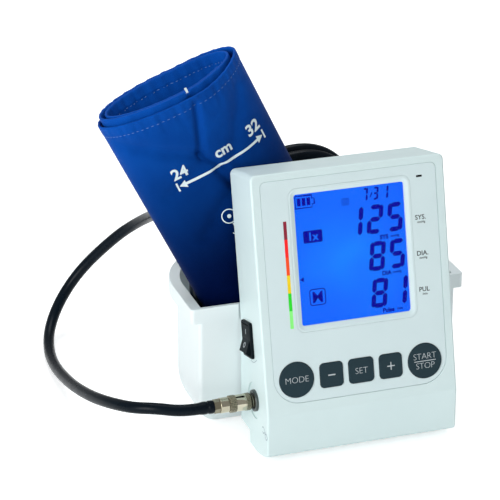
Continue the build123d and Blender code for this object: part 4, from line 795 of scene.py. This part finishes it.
def joinShapes(shapes):
    # several flat shapes as one list of points and faces
    points, faces, base = [], [], 0
    for outline, quads in shapes:
        points.append(outline)
        faces += [[int(i) + base for i in quad] for quad in quads]
        base += len(outline)
    return np.concatenate(points), faces


def flatText(words, align="CENTER", spacing=1.0, weight=0.0):
    # Blender's own typeface as a flat mesh at size 1
    curve = bpy.data.curves.new("lettering", "FONT")
    curve.body = words
    curve.align_x = align
    curve.align_y = "BOTTOM_BASELINE"
    curve.space_character = spacing
    curve.offset = weight
    curve.resolution_u = 4
    made = addObject("lettering", curve)
    mesh = bpy.data.meshes.new_from_object(made.evaluated_get(bpy.context.evaluated_depsgraph_get()))
    points = np.zeros(len(mesh.vertices) * 3)
    mesh.vertices.foreach_get("co", points)
    faces = [list(p.vertices) for p in mesh.polygons]
    bpy.data.objects.remove(made)
    bpy.data.curves.remove(curve)
    bpy.data.meshes.remove(mesh)
    return points.reshape(-1, 3)[:, :2], faces


bpy.context.view_layer.update()
capitalHeight = float(np.ptp(flatText("H")[0][:, 1]))


def textShape(words, capHeight, x, y, **style):
    # scaled so that a capital has the height asked for, with its middle at y
    points, faces = flatText(words, **style)
    return points * (capHeight / capitalHeight) + [x, y - capHeight / 2], faces


def printOn(name, shapes, surface, material, body="console"):
    # flat shapes in x and y carried onto a surface given as a function of both
    points, faces = joinShapes(shapes)
    return addPiece(name, surface(points[:, 0], points[:, 1]), faces, material, body)


def onFace(w):
    # the console's face at one depth
    return lambda x, y: facePoint(x, y, w)


def fineShape(shape, reach):
    # triangles halved along all three edges until none is longer than the reach
    points, faces = np.asarray(shape[0], float), shape[1]
    cut = np.array([(f[0], f[i], f[i + 1]) for f in faces for i in range(1, len(f) - 1)])
    corners = points[cut]
    while np.linalg.norm(corners - np.roll(corners, 1, axis=1), axis=2).max() > reach:
        middles = (corners + np.roll(corners, -1, axis=1)) / 2
        a, b, c = (corners[:, i] for i in range(3))
        ab, bc, ca = (middles[:, i] for i in range(3))
        corners = np.concatenate([np.stack(t, axis=1) for t in ((a, ab, ca), (ab, b, bc), (ca, bc, c), (ab, bc, ca))])
    return corners.reshape(-1, 2), np.arange(len(corners) * 3).reshape(-1, 3).tolist()


# Screen print on the cuff's near side: x from its left edge, d below its top
cuffPrint = {
    "middle": 55.0, "lift": roll["cloth"] / 2 + 0.3, "reach": 1.3, "cap": 8.0,
    "turn": (360.0, 55.0),  # where the outer turn's near side ends, and its half width there
    "words": [("24", 30, 48), ("cm", 65, 47.6), ("32", 92, 48)],
    "arrow": {
        "d": 58, "tips": ((24.5, 1), (97.5, -1)), "run": (27, 95), "wide": 1.9,
        "stop": (3.4, 1.3), "head": (1.2, 6.4, 2.9),  # half height and width, and start, end and half height
    },
    "artery": {
        "x": 46, "d": 95.5, "ring": (5.2, 0.75), "dot": 1.5,
        "stem": (6, 15.5), "point": 16.9, "barb": (3.4, 12.7), "wide": 0.8,
    },
}


def onCuff(lastTurn, half):
    # across the flat side by the cosine of the turn that ends at the given angle, and y up from the top
    def place(x, y):
        angle = lastTurn - np.degrees(np.arccos(np.clip((x - cuffPrint["middle"]) / half, -1, 1)))
        return rollPoint(angle, cuff["length"] + y, cuffPrint["lift"])

    return place


def cuffMarks(spec):
    def line(points, width, close=False):
        run = np.asarray(points, float) if close else lineOf(points, 40)
        return stripShape(run * [1, -1], width, close=close)

    shapes = [textShape(words, spec["cap"], x, -d, weight=0.03) for words, x, d in spec["words"]]
    # the size range: a line with an arrow head and a stop at each end
    arrow = spec["arrow"]
    d, (reach, wide), (nose, tail, flare) = arrow["d"], arrow["stop"], arrow["head"]
    shapes.append(line([(x, d) for x in arrow["run"]], arrow["wide"]))
    for tip, way in arrow["tips"]:
        base = tip + way * tail
        shapes.append(fan([(tip + way * nose, -d), (base, -d - flare * way), (base, -d + flare * way)]))
        shapes.append(line([(tip, d - reach), (tip, d + reach)], wide))
    # artery mark: a ring with a dot, and an arrow down to the hem
    artery = spec["artery"]
    x, d, (radius, wide) = artery["x"], artery["d"], artery["ring"]
    shapes.append(line(ringPoints(x, d, radius, 40), wide, close=True))
    shapes.append(fan(ringPoints(x, -d, artery["dot"], 18)))
    shapes.append(line([(x, d + reach) for reach in artery["stem"]], artery["wide"]))
    side, down = artery["barb"]
    barbs = [(x - side, d + down), (x, d + artery["point"]), (x + side, d + down)]
    shapes.append(line(barbs, artery["wide"]))
    return [fineShape(shape, spec["reach"]) for shape in shapes]


printedTurn = onCuff(*cuffPrint["turn"])
cuffLettering = printOn("cuffLettering", cuffMarks(cuffPrint), printedTurn, "cuffInk")
# a small folded loop of white ribbon sewn to the second turn's rim
ribbon = {"turn": (720.0, 51.0), "outline": [(60.2, -1.6), (61.9, -1.6), (61.9, 2.6), (60.2, 2.6)], "reach": 1.0}
ribbonShape = fineShape(fan(ribbon["outline"]), ribbon["reach"])
cuffRibbon = printOn("cuffRibbon", [ribbonShape], onCuff(*ribbon["turn"]), "cuffInk")


# Liquid crystal marks, set on the front of the screen's glass
screen = {
    "left": -40.5, "top": 179.7, "w": 2.55, "slant": math.tan(math.radians(7)),
    "numbers": [  # text, left edge, top, digit width, height, pitch and bar width
        ("125", 38.2, 14.0, 11.6, 20.4, 14.9, 3.25),
        ("85", 53.1, 39.8, 11.6, 20.8, 14.9, 3.25),
        ("81", 53.1, 66.0, 11.6, 20.8, 14.9, 3.25),
        ("7", 50.6, 1.6, 4.1, 9.0, 7.4, 1.35),
        ("31", 58.4, 1.6, 4.1, 9.0, 7.4, 1.35),
    ],
    "words": [  # text, capital height, left edge, middle below the top and weight
        ("SYS", 2.8, 61.6, 37.3, 0.045), ("mmHg", 1.6, 69.6, 37.3, 0.035),
        ("DIA", 2.8, 61.6, 62.9, 0.045), ("mmHg", 1.6, 69.6, 62.9, 0.035),
        ("Pulse", 2.8, 60.4, 89.2, 0.045), ("/min", 1.6, 71.2, 89.2, 0.035),
    ],
    # the small signs: each has its place, and sizes up and to the right of that
    "signs": ("slash", "battery", "calendar", "pointer", "memory"),
    "slash": {"at": (56.2, 8.6), "line": [(0, 0), (1.6, 3.4)], "wide": 0.7},
    "battery": {
        "at": (1.4, 10.1), "wide": 0.55, "bars": 3, "pitch": 3.5, "bar": (1.4, 1.6, 3.9, 6.9), "round": 0.05,
        "case": [(0, 0), (12.2, 0), (12.2, 2.2), (13.9, 2.2), (13.9, 6.2), (12.2, 6.2), (12.2, 8.5), (0, 8.5)],
    },
    "calendar": {
        "at": (35.4, 11.6), "box": (0, 0, 5.0, 4.4), "round": 0.7, "wide": 0.32,
        "rows": (1.0, 1.9, 2.8, 3.6), "rowEnds": (0.7, 4.3), "rowWide": 0.3,
    },
    "pointer": {"at": (1.0, 59.8), "outline": [(0, 0), (2.8, -1.7), (2.8, 1.7)]},
    "memory": {
        "at": (7.4, 78.8), "box": (0, 0, 11.3, 11.2), "round": 1.9, "wide": 0.65,
        "letter": ("M", 7.6, 5.65, 5.6), "weight": 0.012,
    },
}
lit = {"1": "bc", "2": "abdeg", "3": "abcdg", "5": "acdfg", "7": "abc", "8": "abcdefg"}


def digitShapes(text, left, top, width, height, pitch, bar):
    # each lit bar is a six-cornered lozenge between two corners of the digit's two stacked squares
    h, b = height / 2, bar / 2
    corner = {"nw": (0, height), "ne": (width, height), "w": (0, h), "e": (width, h), "sw": (0, 0), "se": (width, 0)}
    ends = {"a": "nw ne", "b": "ne e", "c": "e se", "d": "sw se", "e": "w sw", "f": "nw w", "g": "w e"}
    inset = {"a": (0, -b), "b": (-b, 0), "c": (-b, 0), "d": (0, b), "e": (b, 0), "f": (b, 0), "g": (0, 0)}
    shapes = []
    for place, figure in enumerate(text):
        for key in lit[figure]:
            p, q = (np.array(corner[c], float) + inset[key] for c in ends[key].split())
            way = unit(q - p)
            side = np.array([-way[1], way[0]])
            short = bar * 0.1 + (b if key in "adg" else 0.0)
            p, q = p + way * short, q - way * short
            plus, minus = (way + side) * b, (way - side) * b
            outline = np.array([p, p + minus, q - plus, q, q - minus, p + plus])
            outline[:, 0] += place * pitch + outline[:, 1] * screen["slant"] - height * screen["slant"] / 2
            outline += [screen["left"] + left, screen["top"] - top - height]
            shapes.append(fan(outline))
    return shapes


def screenAt(a, b):
    # a is to the right of the screen's left edge and b below its top
    return screen["left"] + a, screen["top"] - b


def moved(points, place):
    # points carried to a place on the screen
    return np.asarray(points, float) + screenAt(*place)


def screenMarks(spec):
    shapes = [s for entry in spec["numbers"] for s in digitShapes(*entry)]
    slash, battery, calendar, pointer, memory = (spec[key] for key in spec["signs"])
    shapes.append(stripShape(moved(slash["line"], slash["at"]), slash["wide"]))
    shapes.append(stripShape(moved(battery["case"], battery["at"]), battery["wide"], close=True))
    x0, y0, x1, y1 = battery["bar"]
    for step in battery["pitch"] * np.arange(battery["bars"]):
        bar = boxPoints(x0 + step, y0, x1 + step, y1, battery["round"], 2)
        shapes.append(fan(moved(bar, battery["at"])))
    for sign in (calendar, memory):
        outline = boxPoints(*sign["box"], sign["round"])
        shapes.append(stripShape(moved(outline, sign["at"]), sign["wide"], close=True))
    for up in calendar["rows"]:
        ends = [(across, up) for across in calendar["rowEnds"]]
        shapes.append(stripShape(moved(ends, calendar["at"]), calendar["rowWide"]))
    shapes.append(fan(moved(pointer["outline"], pointer["at"])))
    letter, capHeight, across, up = memory["letter"]
    x, y = screenAt(*memory["at"])
    shapes.append(textShape(letter, capHeight, x + across, y + up, weight=memory["weight"]))
    for words, capHeight, a, b, weight in spec["words"]:
        shapes.append(textShape(words, capHeight, *screenAt(a, b), align="LEFT", weight=weight))
    return shapes


printOn("screenMarks", screenMarks(screen), onFace(screen["w"]), "crystalInk")
# the count badge is navy with its figures left in the screen's own blue, as a plate and lighter figures before it
badge = {
    "at": (5.6, 34.9), "wide": 13.9, "high": 8.6, "round": 1.0,
    "cap": 5.4, "middle": (6.9, 4.4), "weight": 0.025, "before": 0.03,
}
left, low = screenAt(*badge["at"])
badgePlate = fan(boxPoints(left, low, left + badge["wide"], low + badge["high"], badge["round"]))
across, up = badge["middle"]
figures = textShape("1x", badge["cap"], left + across, low + up, weight=badge["weight"])
printOn("countBadge", [badgePlate], onFace(screen["w"]), "crystalInk")
printOn("countFigures", [figures], onFace(screen["w"] - badge["before"]), "litScreen")

# Pad-printed lettering and the coloured scale on the face plate
plate = {"w": 0.16, "scaleU": -48.4, "scaleHalf": 1.2, "scaleV": (87.1, 162.3)}
plateWords = [  # text, capital height, middle across and up, and weight
    ("SYS.", 3.2, 51.2, 153.4, 0.014), ("mmHg", 1.5, 51.6, 150.0, 0.02),
    ("DIA.", 3.2, 51.2, 127.9, 0.014), ("mmHg", 1.5, 51.6, 124.6, 0.02),
    ("PUL", 3.2, 50.9, 102.2, 0.014), ("/min", 1.5, 51.4, 98.8, 0.02),
]
plateShapes = [textShape(words, size, u, v, weight=weight) for words, size, u, v, weight in plateWords]
printOn("plateLettering", plateShapes, onFace(plate["w"]), "legendDark")
scaleLeft, scaleRight = plate["scaleU"] - plate["scaleHalf"], plate["scaleU"] + plate["scaleHalf"]
scaleSteps = np.linspace(*plate["scaleV"], len(scaleShades) + 1)
for number in range(len(scaleShades)):
    bar = fan(boxPoints(scaleLeft, scaleSteps[number], scaleRight, scaleSteps[number + 1], 0.05, 2))
    printOn(f"scaleBar{number}", [bar], onFace(plate["w"]), f"barInk{number}")

# Legends on the keys, each riding with its key
keys = {"v": 50.9, "w": -0.54, "cap": 4.3, "thin": -0.02}


def keyWord(words, u, rise=0.0, spacing=0.98):
    return textShape(words, keys["cap"], u, keys["v"] + rise, spacing=spacing, weight=keys["thin"])


def keyBar(start, end, width):
    # start and end are across the face and above the middle of the keys
    return stripShape([(u, keys["v"] + rise) for u, rise in (start, end)], width)


legends = {
    "mode_key": [keyWord("MODE", -47.85)],
    "minus_key": [keyBar((-24.7, 0), (-19.5, 0), 0.85)],
    "set_key": [keyWord("SET", 0)],
    "plus_key": [
        keyBar((19.3, 0), (24.9, 0), 0.7),
        keyBar((22.1, 0.35), (22.1, 2.8), 0.7),
        keyBar((22.1, -2.8), (22.1, -0.35), 0.7),
    ],
    "start_stop_key": [
        keyWord("START", 47.85, 3.5, 0.94),
        keyBar((39.7, 0), (56.0, 0), 0.5),
        keyWord("STOP", 47.85, -3.3, 0.94),
    ],
}
for body, shapes in legends.items():
    name = body.replace("_key", "").replace("_", "") + "Legend"
    printOn(name, shapes, onFace(keys["w"]), "legendGrey", body)

# Marks of the power switch: a bar on the half pressed in, a ring on the half standing out
rocker = {
    "pivot": facePoint(-70.0, 77.6, 29.25),
    "tip": (4.90, 9.62), "ridge": 3.2, "turn": math.radians(10), "lift": 0.06,
    "bar": [(0, 3.2), (0, 6.9)], "barWide": 0.8, "ring": (0, -4.6, 1.6), "ringWide": 0.65,
}


def onRocker(side):
    # x towards the front and y up along one sloping half, from the ridge to the tip on the given side
    cosine, sine = math.cos(rocker["turn"]), math.sin(rocker["turn"])

    def turned(x, y):
        return np.array([x * cosine - y * sine, x * sine + y * cosine])

    ridge, tip = turned(rocker["ridge"], 0), turned(rocker["tip"][0], side * rocker["tip"][1])
    way = unit(tip - ridge)
    out = np.array([way[1], -way[0]]) * side

    def place(x, y):
        flat = ridge + np.abs(y)[:, None] * way + out * rocker["lift"]
        return rocker["pivot"] - flat[:, :1] * [1.0, 0, 0] + flat[:, 1:] * upFace - x[:, None] * backFace

    return place


onMark = stripShape(rocker["bar"], rocker["barWide"])
offMark = stripShape(ringPoints(*rocker["ring"], 24), rocker["ringWide"], close=True)
printOn("rockerOnMark", [onMark], onRocker(1), "legendGrey", "rocker")
printOn("rockerOffMark", [offMark], onRocker(-1), "legendGrey", "rocker")

# Thin lines moulded into the left side, drawn as painted grey shade: a plain hose mark low down, and a shallow curve
# below the switch
sideMark = {"x": -71.06, "v": 14.0, "w": 8.7}
sideLines = [  # in millimetres from the mark's middle
    stripShape(ringPoints(2.2, -2.2, 2.1, 28), 0.6, close=True),
    stripShape([(-5.0, 3.2), (-3.6, 4.1), (-2.0, 3.9), (-0.6, 2.8), (0.8, 1.2), (2.2, -0.1)], 0.6),
    stripShape([(-5.0, 0.6), (-4.2, -0.5), (-2.9, -0.6), (-1.4, 0.4), (0.3, -1.2)], 0.6),
    stripShape([(-19.9, 48.6), (-16.5, 47.9), (-13.1, 48.2), (-9.4, 49.5), (-5.8, 51.4)], 0.45),
]


def onSide(x, y):
    # x towards the front and y up along the console's left side
    return facePoint(sideMark["x"], sideMark["v"] + y, sideMark["w"] - x)


printOn("sideMark", sideLines, onSide, "paintedGrooveShade")
print("lettering printed")


# Studio: pale floor, a large soft lamp from the left, one overhead and the room's own light
studio = {
    "floor": "#F6F8F8", "glow": 0.5, "reach": 30.0, "room": 0.42, "aim": (0, 0, 0.08),
    "lamps": [
        {"name": "windowLamp", "place": (-2100, -1500, 800), "size": 1500, "power": 48.0, "shade": "#FFFFFF"},
        {"name": "topLamp", "place": (200, 700, 2300), "size": 1300, "power": 22.0, "shade": "#F8FCFF"},
    ],
}


def studioFloor(spec):
    # pale paper: where the camera, a glossy ray or a clear one meets it, part of its colour is its own light
    made, tree, spot = startMaterial("paleFloor")
    ray = addNode(tree, "ShaderNodeLightPath").outputs
    rays = {0: ray["Is Camera Ray"], 1: ray["Is Glossy Ray"]}
    seen = addNode(tree, "ShaderNodeMath", rays, 0, operation="MAXIMUM")
    shown = addNode(tree, "ShaderNodeMath", {0: seen, 1: ray["Is Transmission Ray"]}, 0, operation="MAXIMUM")
    strength = addNode(tree, "ShaderNodeMath", {0: shown, 1: spec["glow"]}, 0, operation="MULTIPLY")
    paper = addNode(tree, "ShaderNodeBsdfDiffuse", {"Color": spec["floor"]}, 0)
    own = addNode(tree, "ShaderNodeEmission", {"Color": "#FFFFFF", "Strength": strength}, 0)
    both = addNode(tree, "ShaderNodeAddShader", {0: paper, 1: own}, 0)
    addNode(tree, "ShaderNodeOutputMaterial", {"Surface": both})
    return made


def makeStudio(spec):
    half = spec["reach"] / 2
    mesh = bpy.data.meshes.new("studioFloor")
    mesh.from_pydata([(-half, -half, 0), (half, -half, 0), (half, half, 0), (-half, half, 0)], [], [(0, 1, 2, 3)])
    mesh.materials.append(studioFloor(spec))
    addObject("studioFloor", mesh)
    for lamp in spec["lamps"]:
        light = bpy.data.lights.new(lamp["name"], "AREA")
        light.shape = "SQUARE"
        light.size = lamp["size"] * mm
        light.energy = lamp["power"]
        light.color = toLinear(lamp["shade"])[:3]
        place = np.array(lamp["place"]) * mm
        away = unit(place - np.array(spec["aim"]))
        side = unit(np.cross([0, 0, 1.0], away))
        addObject(lamp["name"], light).matrix_world = placed(side, np.cross(away, side), away, place)
    world = bpy.data.worlds.new("studioRoom")
    world.use_nodes = True
    tree = world.node_tree
    tree.nodes.clear()
    ray = addNode(tree, "ShaderNodeLightPath").outputs
    rays = {0: ray["Is Camera Ray"], 1: ray["Is Transmission Ray"]}
    seen = addNode(tree, "ShaderNodeMath", rays, 0, operation="MAXIMUM")
    strength = addNode(tree, "ShaderNodeMapRange", {"Value": seen, "To Min": spec["room"], "To Max": 1.0}, "Result")
    room = addNode(tree, "ShaderNodeBackground", {"Color": "#FFFFFF", "Strength": strength}, 0)
    addNode(tree, "ShaderNodeOutputWorld", {"Surface": room})
    bpy.context.scene.world = world


makeStudio(studio)
print("studio lit")
